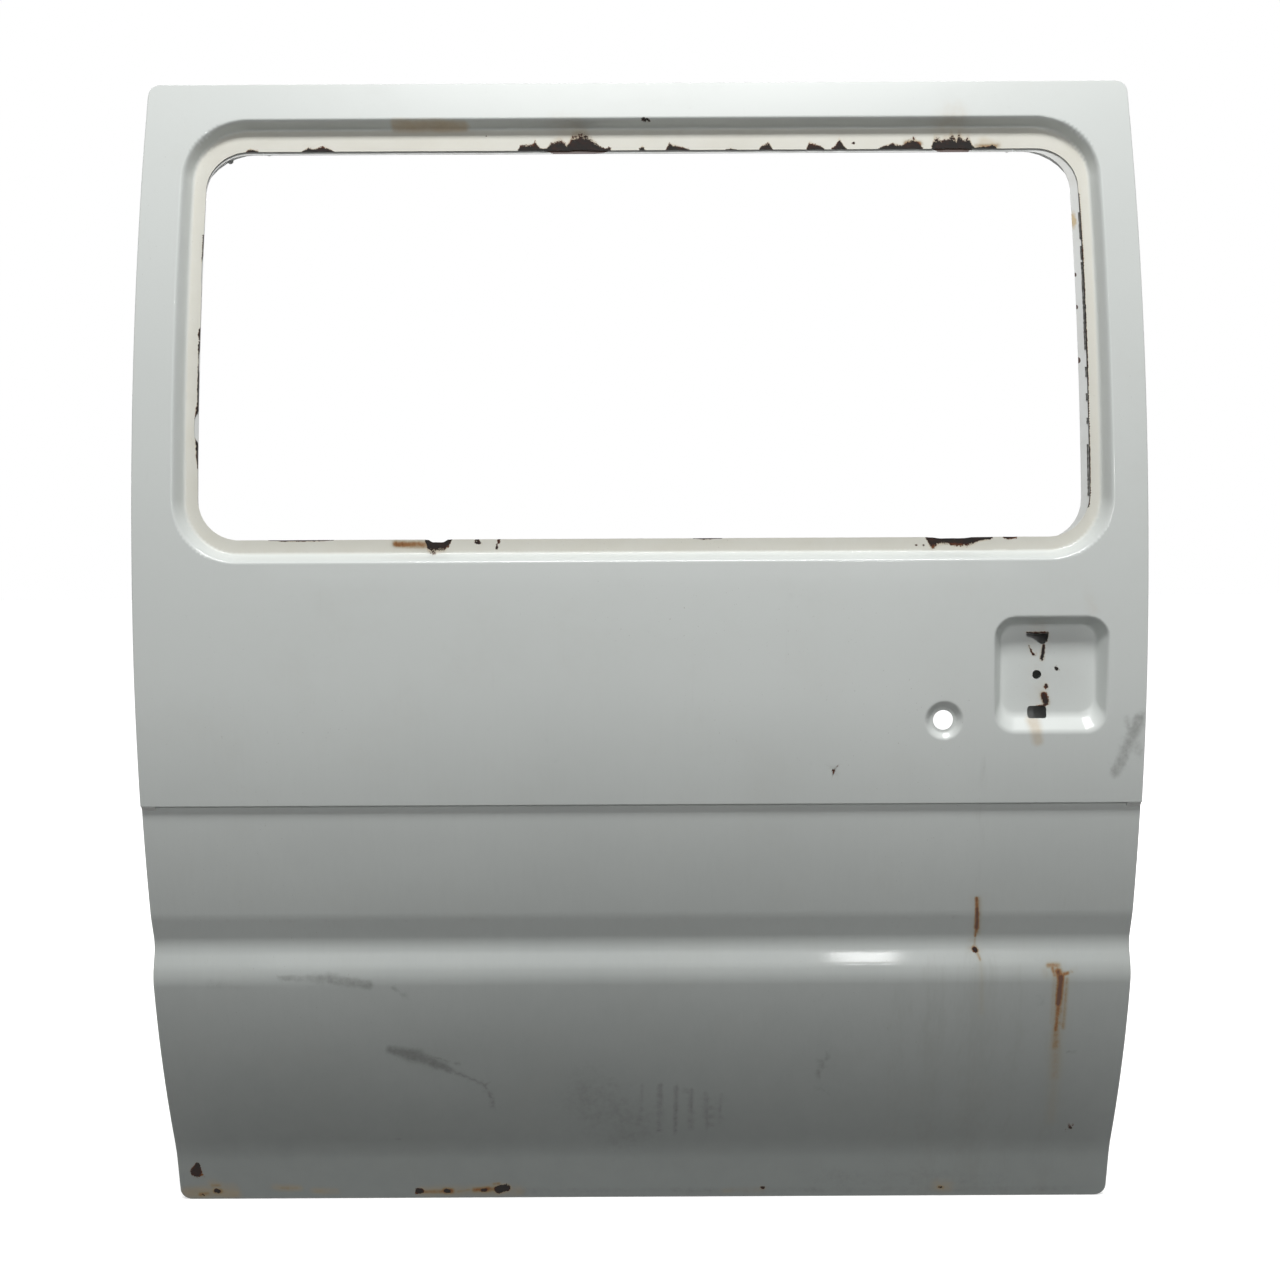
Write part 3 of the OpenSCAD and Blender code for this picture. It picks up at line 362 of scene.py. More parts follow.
WASH_MARKS = [
    (856.6, 351, 857.6, 340, 2.2, 2, 0.8), (857.6, 340, 859.2, 318, 2.2, 3, 0.95),
    (859.2, 318, 858.4, 308, 3, 1.6, 0.7), (858.6, 350, 860.4, 312, 4.2, 4.2, 0.3),
    (858.4, 308, 857.9, 299, 1.8, 1.8, 0.34), (857.4, 295, 860, 293, 3.4, 2.4, 0.8),
    (860, 292, 863, 284, 2.4, 1.8, 0.4), (863, 284, 866, 226, 2.6, 3.6, 0.15),
    (934, 278, 944, 278, 3.6, 3.6, 0.46), (930, 273, 932, 268, 5, 6, 0.16),
    (938, 276, 940, 268, 3, 2.6, 0.5), (944, 272, 946.6, 264, 4.4, 4.8, 0.8),
    (950, 269, 954, 270, 3, 2.4, 0.62), (957, 272, 959, 271, 2, 1.6, 0.32),
    (946.6, 266, 946, 236, 4.2, 3.6, 1.05), (946, 236, 945.6, 206, 3.4, 2.6, 0.66),
    (953, 264, 953, 208, 3, 3.4, 0.36), (946.4, 262, 946.6, 214, 7.5, 6.5, 0.4),
    (945.6, 212, 946.6, 186, 4.6, 7, 0.4), (946.6, 200, 949.4, 150, 8, 8, 0.26),
    (949, 160, 951.6, 96, 8, 7, 0.16), (940, 268, 940, 214, 3.4, 2.4, 0.24),
    (263, 719.6, 278, 718.8, 3.8, 4, 0.66), (278, 718.8, 293, 718.6, 4.2, 4.6, 0.58),
    (265, 719, 268, 718, 2.4, 2, 0.74), (270, 8, 290, 8.6, 3, 3.6, 0.5), (292, 9, 299, 9, 4.6, 4, 0.74),
    (306, 8, 318, 10, 2.6, 2.6, 0.3), (324, 10, 340, 11, 3.6, 4.2, 0.62),
    (342, 11, 352, 12, 3.4, 4.6, 0.5), (345, 17, 352, 18, 2.4, 2.4, 0.42),
    (112, 13.5, 119, 13.2, 2.6, 3, 0.3), (122, 13, 129, 13.5, 2.6, 2.6, 0.24),
    (150, 9, 156, 9.5, 2.6, 2.2, 0.24), (22, 6, 30, 7, 3.6, 3, 0.46), (36, 17, 44, 17, 3.4, 2.8, 0.36),
    (39, 10, 44, 10, 4.4, 4.2, 0.5), (836, 11, 840, 10, 3.4, 3.2, 0.4), (600, 7, 606, 7, 2.4, 2.4, 0.2),
    (958, 1066, 959, 1040, 2.6, 2.4, 0.3), (919.5, 563, 922, 556, 3.2, 3.6, 0.66),
    (790, 1134, 803, 1134, 4, 3.4, 0.6), (862, 1131, 884, 1131, 2.6, 3, 0.44),
    (446, 1131, 470, 1130, 4, 3, 0.5), (824, 1132, 832, 1131, 3, 3, 0.55),
]
GRIME_AND_SHADE_MARKS = [
    (991, 484, 1014, 540, 6, 7, 0.5), (1000, 540, 1013, 505, 4, 6, 0.35),
    (704.8, 488.8, 705.4, 488.2, 2, 2, 0.6), (243, 186, 272, 178, 5, 9, 0.6),
    (272, 178, 306, 161, 9, 5, 0.55), (306, 161, 342, 143, 2.5, 2, 0.5),
    (268, 184, 316, 168, 1.6, 1.4, 0.5), (342, 143, 351, 118, 2, 1.6, 0.5),
    (707, 182, 698, 154, 2.2, 2, 0.42), (700, 140, 714, 122, 1.6, 1.4, 0.34),
    (509, 142, 507, 92, 3, 3, 0.36), (529, 142, 528, 84, 3.4, 2.6, 0.4),
    (546, 140, 545, 80, 3.4, 2.6, 0.4), (562, 135, 561, 84, 3.4, 2.6, 0.4),
    (578, 132, 579, 84, 3.4, 2.6, 0.36), (594, 129, 592, 88, 3.4, 2.6, 0.34),
    (455, 130, 490, 95, 40, 45, 0.26), (131, 269, 185, 267, 3, 7, 0.42), (185, 267, 225, 261, 7, 6, 0.5),
    (214, 263, 228, 259, 2, 2, 0.4), (250, 258, 262, 248, 3, 3, 0.3), (60, 262, 95, 258, 6, 5, 0.2),
    (300, 8, 980, 8, 5, 5, 0.25), (930, 238, 931, 237, 2.6, 2.6, 0.4), (700, 20, 900, 20, 14, 14, 0.2),
    # The full-width line along the cove's top is painted shade, not grime
    (6, 330, 1014, 330, 3, 3, 0.12), (960, 179, 966, 182, 1.6, 1.4, 0.45),
    (246, 75, 247, 74, 2.4, 2, 0.35),
]
STREAK_MARKS = [
    (780, 272, 780, 8, 14, 10, 0.5), (815, 272, 818, 8, 16, 14, 0.7), (862, 272, 868, 8, 22, 18, 0.8),
    (905, 272, 906, 8, 12, 10, 0.6), (945, 200, 950, 8, 14, 10, 0.6), (620, 70, 620, 5, 40, 40, 0.25),
    (300, 70, 300, 5, 60, 60, 0.2), (857, 500, 857, 340, 8, 8, 0.35), (944, 420, 944, 290, 8, 8, 0.3),
]


def marked(x, z, marks, soft=False):
    """How strongly the nearest mark covers each place: its strength on its middle line, less outwards."""
    best = np.zeros_like(x)
    for x0, z0, x1, z1, r0, r1, strength in marks:
        run = (x1 - x0) ** 2 + (z1 - z0) ** 2
        t = np.clip(((x - x0) * (x1 - x0) + (z - z0) * (z1 - z0)) / run, 0, 1)
        gap = np.hypot(x - x0 - t * (x1 - x0), z - z0 - t * (z1 - z0)) / (r0 + (r1 - r0) * t)
        fade = np.exp(-(gap / 0.95) ** 2) if soft else np.clip(1.6 - gap, 0, 1.2)
        best = np.maximum(best, strength * fade)
    return best


def net_of(columns, rows):
    """The crossings of columns and rows."""
    return np.stack([a.ravel() for a in np.meshgrid(columns, rows)], axis=-1)


def on_plain_sheet(x, z):
    """Whether a place is clear of the window recess, the handle recess and the hem."""
    clear_of_recesses = (from_rect(x, z, FLOOR, FLOOR_R) > 17) & (from_rect(x, z, SCOOP_LIP, 20) > 4)
    return clear_of_recesses & (from_rect(x, z, WHOLE_DOOR, CORNER_R) < -2.2)


def flange_ring(t, spacing):
    """A ring round the window, at the share t of the way from the recess's wall to the opening."""
    at_wall, at_opening = np.array(grown(FLOOR, -2)), np.array(grown(OPENING, 1))
    r = (FLOOR_R - 2) * (1 - t) + (OPENING_R + 1) * t
    return round_rect(tuple(at_wall * (1 - t) + at_opening * t), r, spacing)


def seeded_points():
    """The sheet's points: rows along the body lines, rings round what is pressed, fine nets at marks."""
    rows = [FOLD_R, 4, 8, 14, 22, 32, 42, 52]
    for place, _, w in BODY_LINES[::-1]:
        rows += [place + w * k for k in (-1.3, -1, -0.66, -0.33, 0, 0.33, 0.66, 1, 1.3)]
    rows += list(np.arange(75, 258, 11)) + [286, 291, 312, 318, 324]
    rows += list(np.arange(346, STEP_Z - 6, 11)) + [STEP_Z - 4, STEP_Z - 2, STEP_Z - 1, STEP_Z - 0.4, STEP_Z]
    rows += [STEP_Z + k for k in (0.4, 0.8, 1.2, 1.6, 2.1, 3.2, 5, 9)] + list(np.arange(474, DOOR_H - 6, 12))
    rows += [DOOR_H - 4, DOOR_H - FOLD_R]
    rows = np.unique(np.round(rows, 2))
    columns = [[3, 6, 10], np.arange(18.0, DOOR_W - 12, 12), [DOOR_W - 10, DOOR_W - 6, DOOR_W - 3]]
    columns = np.concatenate(columns)
    net = net_of(columns, rows[1:-1])
    points = [net[on_plain_sheet(*net.T) & (np.hypot(net[:, 0] - LOCK_X, net[:, 1] - LOCK_Z) > 26)]]
    for g in (14, 11.5, 9.8, 8.8, 7.9, 7, 6, 4.5, 3, 1.8, 1, 0.2, -0.8, -2):
        points.append(round_rect(grown(FLOOR, g), FLOOR_R + g, 5))
    points += [flange_ring(t, 2.6) for t in np.linspace(0.12, 1, 7)]
    for t in np.linspace(0, 1, 14):
        ring = flange_ring(t, 1.3)
        points.append(ring[flange_reach(*ring.T) > 1.8])
    points.append(net_of(np.arange(SCOOP_LIP[0] - 1, SCOOP_LIP[2] + 2, 1.9),
                         np.arange(SCOOP_LIP[1] - 1, SCOOP_LIP[3] + 2, 1.9)))
    for r in (10.9, 11.8, 12.6, 13.4, 14.4, 16, 17.4, 18.2, 19.2, 20.4, 22.5):
        points.append(circle(LOCK_X, LOCK_Z, r, 64))
    for marks, pitch in ((SCALE_MARKS + WASH_MARKS, 1.7), (STAIN_MARKS, 5), (GRIME_AND_SHADE_MARKS, 3.6)):
        for x0, z0, x1, z1, r0, r1, _ in marks:
            reach = 1.6 * max(r0, r1)
            net = net_of(np.arange(min(x0, x1) - reach, max(x0, x1) + reach, pitch),
                         np.arange(min(z0, z1) - reach, max(z0, z1) + reach, pitch))
            net = net[marked(*net.T, [(x0, z0, x1, z1, r0, r1, 1)]) > 0.05]
            points.append(net[on_plain_sheet(*net.T)])
    outline = grown(WHOLE_DOOR, -FOLD_R)
    corner = round_rect(outline, CORNER_R - FOLD_R, 2000)
    corner = corner[np.unique(np.round(corner, 3), axis=0, return_index=True)[1]]
    side_rows = rows[(rows > CORNER_R + 1) & (rows < DOOR_H - CORNER_R - 1)]
    side_columns = columns[(columns > CORNER_R + 1) & (columns < DOOR_W - CORNER_R - 1)]
    edge = [corner] + [net_of([x], side_rows) for x in (outline[0], outline[2])]
    edge = np.concatenate(edge + [net_of(side_columns, [z]) for z in (outline[1], outline[3])])
    edge = edge[np.argsort(np.arctan2(edge[:, 1] - DOOR_H / 2, edge[:, 0] - DOOR_W / 2))]
    return np.concatenate(points), edge


def inside(px, pz, loop):
    """Which points lie inside a closed loop."""
    found = np.zeros(len(px), bool)
    for (x0, z0), (x1, z1) in zip(loop, np.roll(loop, -1, axis=0)):
        crosses = (z0 > pz) != (z1 > pz)
        if z1 != z0:
            found ^= crosses & (px < (x1 - x0) * (pz - z0) / (z1 - z0) + x0)
    return found


loose, edge = seeded_points()
clear = np.ones(len(loose), bool)
for loop in openings:
    clear &= ~inside(loose[:, 0], loose[:, 1], loop)
    lo, hi = loop.min(0) - 2, loop.max(0) + 2
    close = np.flatnonzero((loose > lo).all(1) & (loose < hi).all(1) & clear)
    for chunk in np.array_split(close, max(1, len(close) // 400)):
        gap = np.linalg.norm(loose[chunk][:, None] - loop[None], axis=-1).min(1)
        clear[chunk[gap < 0.7]] = False
loose = loose[clear]
loose = loose[np.unique(np.round(loose / 0.6).astype(int), axis=0, return_index=True)[1]]
flat, links, start = [], [], 0
for loop in [edge] + openings:
    flat.append(loop)
    links += [(start + i, start + (i + 1) % len(loop)) for i in range(len(loop))]
    start += len(loop)
flat = np.concatenate(flat + [loose])
verts, _, faces, *_ = delaunay_2d_cdt([Vector(p) for p in flat], links, [], 0, 1e-4)
flat = np.array([tuple(v) for v in verts])
faces = np.array([tuple(f) for f in faces])
area = np.cross(flat[faces[:, 1]] - flat[faces[:, 0]], flat[faces[:, 2]] - flat[faces[:, 0]])
faces[area < 0] = faces[area < 0][:, ::-1]
mid = flat[faces].mean(1)
shown = np.abs(area) > 1e-7
for loop in openings:
    shown &= ~inside(mid[:, 0], mid[:, 1], loop)
faces = faces[shown]
used = np.unique(faces)
renumber = np.full(len(flat), -1)
renumber[used] = np.arange(len(used))
flat, faces = flat[used], renumber[faces]

# The front face, the back face one sheet behind it, the rims of the openings and the folded hem
x, z = flat[:, 0], flat[:, 1]
normal = outward(x, z)
front = np.stack([x, skin_depth(x, z), z], axis=-1)
back = front - normal * SHEET
count = len(front)
directed = np.concatenate([faces[:, [0, 1]], faces[:, [1, 2]], faces[:, [2, 0]]])
keys = np.sort(directed, axis=1)
_, first, times = np.unique(keys, axis=0, return_index=True, return_counts=True)
border = directed[first[times == 1]]
on_edge = np.abs(from_rect(x, z, grown(WHOLE_DOOR, -FOLD_R), CORNER_R - FOLD_R)) < 0.05
is_hem = on_edge[border[:, 0]] & on_edge[border[:, 1]]
rims = border[~is_hem]
hem_links = border[is_hem]
following = {int(a): int(b) for a, b in hem_links}
order = [int(hem_links[0, 0])]
while following[order[-1]] != order[0]:
    order.append(following[order[-1]])
ring = np.array(order)
run = np.roll(front[ring], -1, axis=0) - np.roll(front[ring], 1, axis=0)
side = np.cross(run, normal[ring])
side = side / np.linalg.norm(side, axis=-1, keepdims=True)
turns = np.linspace(0, math.pi, 9)
inner_r = FOLD_R - SHEET
section = [(FOLD_R * math.sin(a), FOLD_R * (1 - math.cos(a))) for a in turns[1:]]
section += [(FOLD_R - HEM_W, 2 * FOLD_R), (FOLD_R - HEM_W, 2 * FOLD_R - SHEET)]
section += [(inner_r * math.sin(a), FOLD_R + inner_r * math.cos(a)) for a in turns[:-1:2]]
hem = [front[ring] + side * out - normal[ring] * deep for out, deep in section]
points = np.concatenate([front, back] + hem)
rings = [2 * count + k * len(ring) + np.arange(len(ring)) for k in range(len(section))]
rings = [ring] + rings + [ring + count]
quads = [np.stack([np.roll(a, -1), a, b, np.roll(b, -1)], axis=-1) for a, b in zip(rings, rings[1:])]
rim_quads = np.stack([rims[:, 1], rims[:, 0], rims[:, 0] + count, rims[:, 1] + count], axis=-1)
skin_faces = []
for group in (faces, faces[:, ::-1] + count, rim_quads, *quads):
    skin_faces += group.tolist()
skin_mesh = bpy.data.meshes.new("door_skin")
skin_mesh.from_pydata(in_frame(*points.T).tolist(), [], skin_faces)
skin_mesh.shade_smooth()
# Sharp are both rims of each opening, and the two rims of the hem's raw edge
sharp = [rims, rims + count] + [np.stack([r, np.roll(r, -1)], axis=-1) for r in rings[9:11]]
sharp = set(map(tuple, np.sort(np.concatenate(sharp), axis=1).tolist()))
ends = np.zeros(len(skin_mesh.edges) * 2, int)
skin_mesh.edges.foreach_get("vertices", ends)
ends = np.sort(ends.reshape(-1, 2), axis=1)
flags = np.array([tuple(e) in sharp for e in ends.tolist()])
skin_mesh.attributes.new("sharp_edge", "BOOLEAN", "EDGE").data.foreach_set("value", flags)
loop_normals = np.zeros((len(skin_mesh.loops), 3))
loop_verts = np.zeros(len(skin_mesh.loops), int)
skin_mesh.loops.foreach_get("vertex_index", loop_verts)
pressed = len(faces) * 3
loop_normals[:pressed] = normal[loop_verts[:pressed]]
loop_normals[pressed:2 * pressed] = -normal[loop_verts[pressed:2 * pressed] - count]
skin_mesh.normals_split_custom_set(loop_normals.tolist())

px, pz = [np.concatenate([side, side] + [side[ring]] * len(section)) for side in (x, z)]
outside = np.concatenate([np.ones(count), np.zeros(count), np.ones(len(ring) * len(section))])
reach = flange_reach(px, pz)
from_opening = from_rect(px, pz, OPENING, OPENING_R)
flange_rust = np.where(reach > 0.3, np.clip(1.45 - from_opening / np.maximum(reach, 0.8), 0, 1.3), 0)
fields = {
    "rust": np.maximum(marked(px, pz, SCALE_MARKS), flange_rust),
    "stain": np.maximum(marked(px, pz, STAIN_MARKS), 0.5 * np.clip(flange_rust, 0, 1)),
    "wash": marked(px, pz, WASH_MARKS, soft=True),
    "grime": marked(px, pz, GRIME_AND_SHADE_MARKS),
    "streak": marked(px, pz, STREAK_MARKS),
    "cream": np.clip(0.2 - from_rect(px, pz, FLOOR, FLOOR_R) / 3, 0, 1),
    "outside": outside,
}
for name, values in fields.items():
    skin_mesh.attributes.new(name, "FLOAT", "POINT").data.foreach_set("value", values.astype(np.float32))
door_skin = in_scene("door_skin", skin_mesh)


class Tone:
    """A value on its way through a tree of nodes: sums and products of tones add Math nodes."""

    def __init__(self, tree, socket):
        self.tree, self.socket = tree, socket

    def _maths(self, operation, a, b):
        return self.tree.add("ShaderNodeMath", {"operation": operation}, {0: a, 1: b})

    def __add__(self, other):
        return self._maths("ADD", self, other)

    def __radd__(self, other):
        return self._maths("ADD", other, self)

    def __sub__(self, other):
        return self._maths("SUBTRACT", self, other)

    def __rsub__(self, other):
        return self._maths("SUBTRACT", other, self)

    def __mul__(self, other):
        return self._maths("MULTIPLY", self, other)

    def __rmul__(self, other):
        return self._maths("MULTIPLY", other, self)

    def beside(self, output):
        """Another output of the node that this tone comes from."""
        return Tone(self.tree, self.socket.node.outputs[output])


class Tree:
    """A tree of nodes, and the one way a node comes into it."""

    def __init__(self, tree):
        self.nodes, self.links = tree.nodes, tree.links

    def add(self, kind, settings, sockets, output=0):
        node = self.nodes.new(kind)
        for key, value in settings.items():
            if key == "stops":
                ramp = node.color_ramp.elements
                while len(ramp) < len(value):
                    ramp.new(0.5)
                for stop, (where, colour) in zip(ramp, value):
                    stop.position = where
                    stop.color = (*colour, 1)
            else:
                setattr(node, key, value)
        self.join(node, sockets)
        return Tone(self, node.outputs[output]) if node.outputs else None

    def join(self, node, sockets):
        for key, value in sockets.items():
            if isinstance(value, Tone):
                self.links.new(value.socket, node.inputs[key])
            else:
                node.inputs[key].default_value = value

    def looked_at(self):
        """1 where the camera, a reflection or glass looks, 0 to the light that leaves the door."""
        seen, mirrored, through = [self.add("ShaderNodeLightPath", {}, {}, f"Is {ray} Ray")
                                   for ray in ("Camera", "Glossy", "Transmission")]
        clamped = {"operation": "ADD", "use_clamp": True}
        return self.add("ShaderNodeMath", clamped, {0: seen + mirrored, 1: through})


class Finish(Tree):
    """One surface finish, mixed on a Principled shader."""

    def __init__(self, name, **constants):
        self.material = bpy.data.materials.new(name)
        self.material.use_nodes = True
        super().__init__(self.material.node_tree)
        self.shader = next(n for n in self.nodes if n.type == "BSDF_PRINCIPLED")
        self.join(self.shader, {socket.replace("_", " "): value for socket, value in constants.items()})
        self.place = self.add("ShaderNodeTexCoord", {}, {}, "Object")

    def field(self, name):
        return self.add("ShaderNodeAttribute", {"attribute_name": name}, {}, "Fac")

    def axis(self, vector, index):
        return self.add("ShaderNodeSeparateXYZ", {}, {0: vector}, index)

    def noise(self, scale, detail=3, rough=0.5, stretch=None, seed=0.0):
        place = self.place
        if stretch or seed:
            place = self.add("ShaderNodeMapping", {}, {
                "Vector": place, "Scale": stretch or (1, 1, 1), "Location": (seed, seed * 0.7, seed * 1.3)})
        return self.add("ShaderNodeTexNoise", {}, {
            "Vector": place, "Scale": scale, "Detail": detail, "Roughness": rough})

    def smooth(self, value, low, high):
        return self.add("ShaderNodeMapRange", {"interpolation_type": "SMOOTHSTEP"},
                        {"Value": value, "From Min": low, "From Max": high})

    def blend(self, share, under, over):
        def colour(c):
            return (*c, 1) if isinstance(c, tuple) else c
        sockets = {0: share, 6: colour(under), 7: colour(over)}
        return self.add("ShaderNodeMix", {"data_type": "RGBA"}, sockets, 2)

    def ramp(self, value, *stops):
        return self.add("ShaderNodeValToRGB", {"stops": stops}, {0: value})

    def bump(self, height, strength, distance):
        return self.add("ShaderNodeBump", {}, {"Strength": strength, "Distance": distance, "Height": height})

    def feed(self, **sockets):
        self.join(self.shader, {name.replace("_", " "): tone for name, tone in sockets.items()})


paint = Finish("outer_paint", Coat_Roughness=0.07, Specular_IOR_Level=0.4)
broken = paint.noise(160, 5, 0.65)
coarse = paint.noise(38, 5, 0.6, seed=3.0)
cloudy = paint.noise(3.2, 4, 0.55, seed=1.0)
outside = paint.field("outside")
cream = paint.field("cream")
bitten = paint.noise(520, 4, 0.7, seed=5.0)
rusting = paint.field("rust")
rust = rusting + (broken - 0.5) * 1.3 + (bitten - 0.5) * 1.3 + (coarse - 0.5) * 0.4
rust = paint.smooth(rust, 0.48, 0.62) * paint.smooth(rusting, 0.02, 0.12)
halo = paint.smooth(rusting * 0.7 + paint.field("stain") + (coarse - 0.5) * 0.7, 0.15, 1.1)
runs = paint.noise(1, 4, 0.6, stretch=(190, 190, 5))
fine_runs = paint.noise(1, 4, 0.65, stretch=(520, 520, 26), seed=2.0)
wash = paint.field("wash")
wash = wash * (0.75 + fine_runs * 0.5) + paint.smooth(wash, 0.05, 0.5) * (broken - 0.5) * 0.6
washed = paint.smooth(wash, -0.10, 0.62)
grime = paint.smooth(paint.field("grime") + (broken - 0.5) * 0.6 + (coarse - 0.5) * 0.6, 0.1, 0.9)
streak = paint.smooth(paint.field("streak") + (runs - 0.5) * 2.2, 0.25, 1.3)
dust = paint.smooth(paint.noise(11, 6, 0.7, seed=2.0), 0.45, 0.85)
specks = paint.smooth(paint.noise(420, 2, 0.5, seed=4.0), 0.70, 0.78) * paint.smooth(cloudy, 0.45, 0.7)
# Road dirt thickens down the door, in clouds and faint runs, and painted shade darkens the lower panel with
# it, standing in for the overhead light falling off down the door
height = paint.axis(paint.place, 2)
road_dirt_and_shade = paint.smooth(height + (cloudy - 0.5) * 0.10 + (runs - 0.5) * 0.03, 0.12, -0.54)
colour = paint.blend(cloudy, (0.685, 0.722, 0.704), (0.740, 0.776, 0.756))
colour = paint.blend(cream * 0.8, colour, paint.blend(coarse, (0.72, 0.69, 0.59), (0.80, 0.79, 0.72)))
dirt_and_shade_tint = paint.blend(coarse, (0.180, 0.205, 0.203), (0.245, 0.270, 0.266))
# Darker towards the bottom: partly road dirt, partly painted shade
colour = paint.blend(road_dirt_and_shade * 0.84, colour, dirt_and_shade_tint)
colour = paint.blend(dust * 0.10, colour, (0.46, 0.44, 0.38))
colour = paint.blend(specks * 0.35, colour, (0.20, 0.18, 0.15))
colour = paint.blend(streak * 0.17, colour, (0.22, 0.22, 0.19))
# Grime darkens the paint in places; along the cove's top this darkening is painted shade
colour = paint.blend(grime * 0.60, colour, (0.10, 0.10, 0.095))
colour = paint.blend(halo * 0.70, colour, paint.blend(broken, (0.42, 0.26, 0.10), (0.60, 0.46, 0.26)))
colour = paint.blend(washed, colour, paint.ramp(
    wash, (0.10, (0.40, 0.36, 0.26)), (0.34, (0.34, 0.24, 0.12)), (0.62, (0.26, 0.115, 0.036)),
    (0.88, (0.085, 0.027, 0.009))))
crust = broken * 0.55 + coarse * 0.40 + (1 - paint.smooth(rusting, 0.45, 0.95)) * 0.16
colour = paint.blend(rust, colour, paint.ramp(
    crust, (0.46, (0.007, 0.005, 0.004)), (0.58, (0.022, 0.009, 0.006)), (0.70, (0.10, 0.030, 0.012)),
    (0.82, (0.34, 0.16, 0.055))))
colour = paint.blend(outside, paint.blend(cloudy, (0.42, 0.42, 0.40), (0.55, 0.55, 0.53)), colour)
gloss = paint.smooth(cloudy, 0.3, 0.7) * 0.08 + 0.32 + dust * 0.10 + grime * 0.2
gloss = gloss + halo * 0.15 + road_dirt_and_shade * 0.12 + cream * 0.3
rough = paint.add("ShaderNodeMix", {"data_type": "FLOAT"}, {0: rust, 2: gloss, 3: 0.88}, 0)
clean = (1 - rust) * (1 - grime * 0.7) * (1 - halo * 0.6) * (1 - washed * 0.7)
clean = clean * (1 - cream) * (1 - road_dirt_and_shade * 0.3)
clamped = {"operation": "MULTIPLY", "use_clamp": True}
coat = paint.add("ShaderNodeMath", clamped, {0: clean, 1: outside * 0.40})
relief = paint.noise(520, 2, 0.5) * 0.006 + rust * 0.35 + rust * broken * 0.9
relief = relief + paint.noise(26, 3, 0.5, seed=6.0) * 0.05 + halo * coarse * 0.1
paint.feed(Base_Color=colour, Roughness=rough, Coat_Weight=coat, Normal=paint.bump(relief, 0.5, 0.0015))
skin_mesh.materials.append(paint.material)
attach(door_skin, "root")
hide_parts("outer_skin")

# The inner frame is seven pressings of the same sheet, bent over the press's rounded edges and spot
# welded to each other: two pillars, a header, a waist rail, a sill rail and two panels with holes
# for hands and tools. They are painted with the body, and dusty where the trim used to cover them.
inner_paint = Finish("inner_paint", Coat_Roughness=0.2, Specular_IOR_Level=0.45)
settled = inner_paint.smooth(inner_paint.noise(9, 6, 0.7), 0.42, 0.80)
film = inner_paint.noise(2.6, 4, 0.5, seed=3.0)
grit = inner_paint.smooth(inner_paint.noise(300, 3, 0.6, seed=5.0), 0.66, 0.76) * settled
patch = inner_paint.noise(46, 5, 0.65, seed=7.0)
flakes = inner_paint.noise(180, 4, 0.65, seed=8.0)
facing_up = inner_paint.axis(inner_paint.add("ShaderNodeNewGeometry", {}, {}, "Normal"), 2)
lying = inner_paint.smooth(facing_up, 0.35, 0.9)
drips = inner_paint.noise(1, 3, 0.6, stretch=(70, 70, 4), seed=2.0)
height = inner_paint.axis(inner_paint.place, 2)
low = inner_paint.smooth(height + (patch - 0.5) * 0.10 + (drips - 0.5) * 0.10, -0.26, -0.53)
near_sill = inner_paint.smooth(height + (film - 0.5) * 0.25, -0.40, -0.53)
freckle = inner_paint.smooth(patch * 0.7 + flakes * 0.3 + near_sill * 0.12, 0.675, 0.72)


def rusted_spot(x, z, half_x, half_z):
    """1 in the middle of an oval on the door, 0 at its rim, whatever the depth."""
    centre = in_frame(x, 0, z).tolist()
    spread = inner_paint.add("ShaderNodeMapping", {"vector_type": "TEXTURE"}, {
        "Vector": inner_paint.place, "Location": centre, "Scale": (half_x * MM, 1000, half_z * MM)})
    return 1 - inner_paint.add("ShaderNodeVectorMath", {"operation": "LENGTH"}, {0: spread}, 1)


# The window flange's edge is rusted behind the worst places of the skin's
LIP_SPOTS = [(834, 722, 38, 6.5), (446, 1128, 42, 5.5), (838, 1128, 26, 5.5),
             (957, 903, 3, 4), (957.5, 958, 1.6, 3), (957.5, 992, 1.6, 3)]
lip = inner_paint.smooth(rusted_spot(306, 722, 20, 9), 0, 0.5)
for spot in LIP_SPOTS:
    lip = lip + inner_paint.smooth(rusted_spot(*spot), 0, 0.5)
lip = inner_paint.smooth(lip + (flakes - 0.5) * 1.4, 0.35, 0.55)
ochre = inner_paint.smooth(rusted_spot(958, 1050, 6, 18) + (flakes - 0.5) * 0.9, 0.25, 0.7)
worn = inner_paint.blend(film, (0.63, 0.645, 0.63), (0.72, 0.735, 0.72))
worn = inner_paint.blend(settled * 0.35, worn, (0.42, 0.39, 0.33))
worn = inner_paint.blend(lying * 0.55, worn, (0.33, 0.29, 0.23))
worn = inner_paint.blend(low * 0.38, worn, (0.33, 0.28, 0.21))
worn = inner_paint.blend(grit * 0.6, worn, (0.16, 0.14, 0.12))
worn = inner_paint.blend(ochre * 0.8, worn, (0.50, 0.36, 0.16))
worn = inner_paint.blend(lip, worn, inner_paint.blend(patch, (0.010, 0.006, 0.005), (0.07, 0.024, 0.010)))
rusty = inner_paint.ramp(flakes, (0.40, (0.030, 0.012, 0.008)), (0.66, (0.16, 0.065, 0.026)))
worn = inner_paint.blend(freckle, worn, rusty)
uneven = inner_paint.noise(480, 2, 0.5) * 0.012 + freckle * 0.3 + inner_paint.noise(24, 3, 0.5) * 0.05
inner_paint.feed(
    Base_Color=worn,
    Roughness=0.40 + settled * 0.18 + lying * 0.2 + freckle * 0.3,
    Coat_Weight=0.25 - (settled * 0.12 + freckle * 0.1),
    Normal=inner_paint.bump(uneven, 0.5, 0.0015))


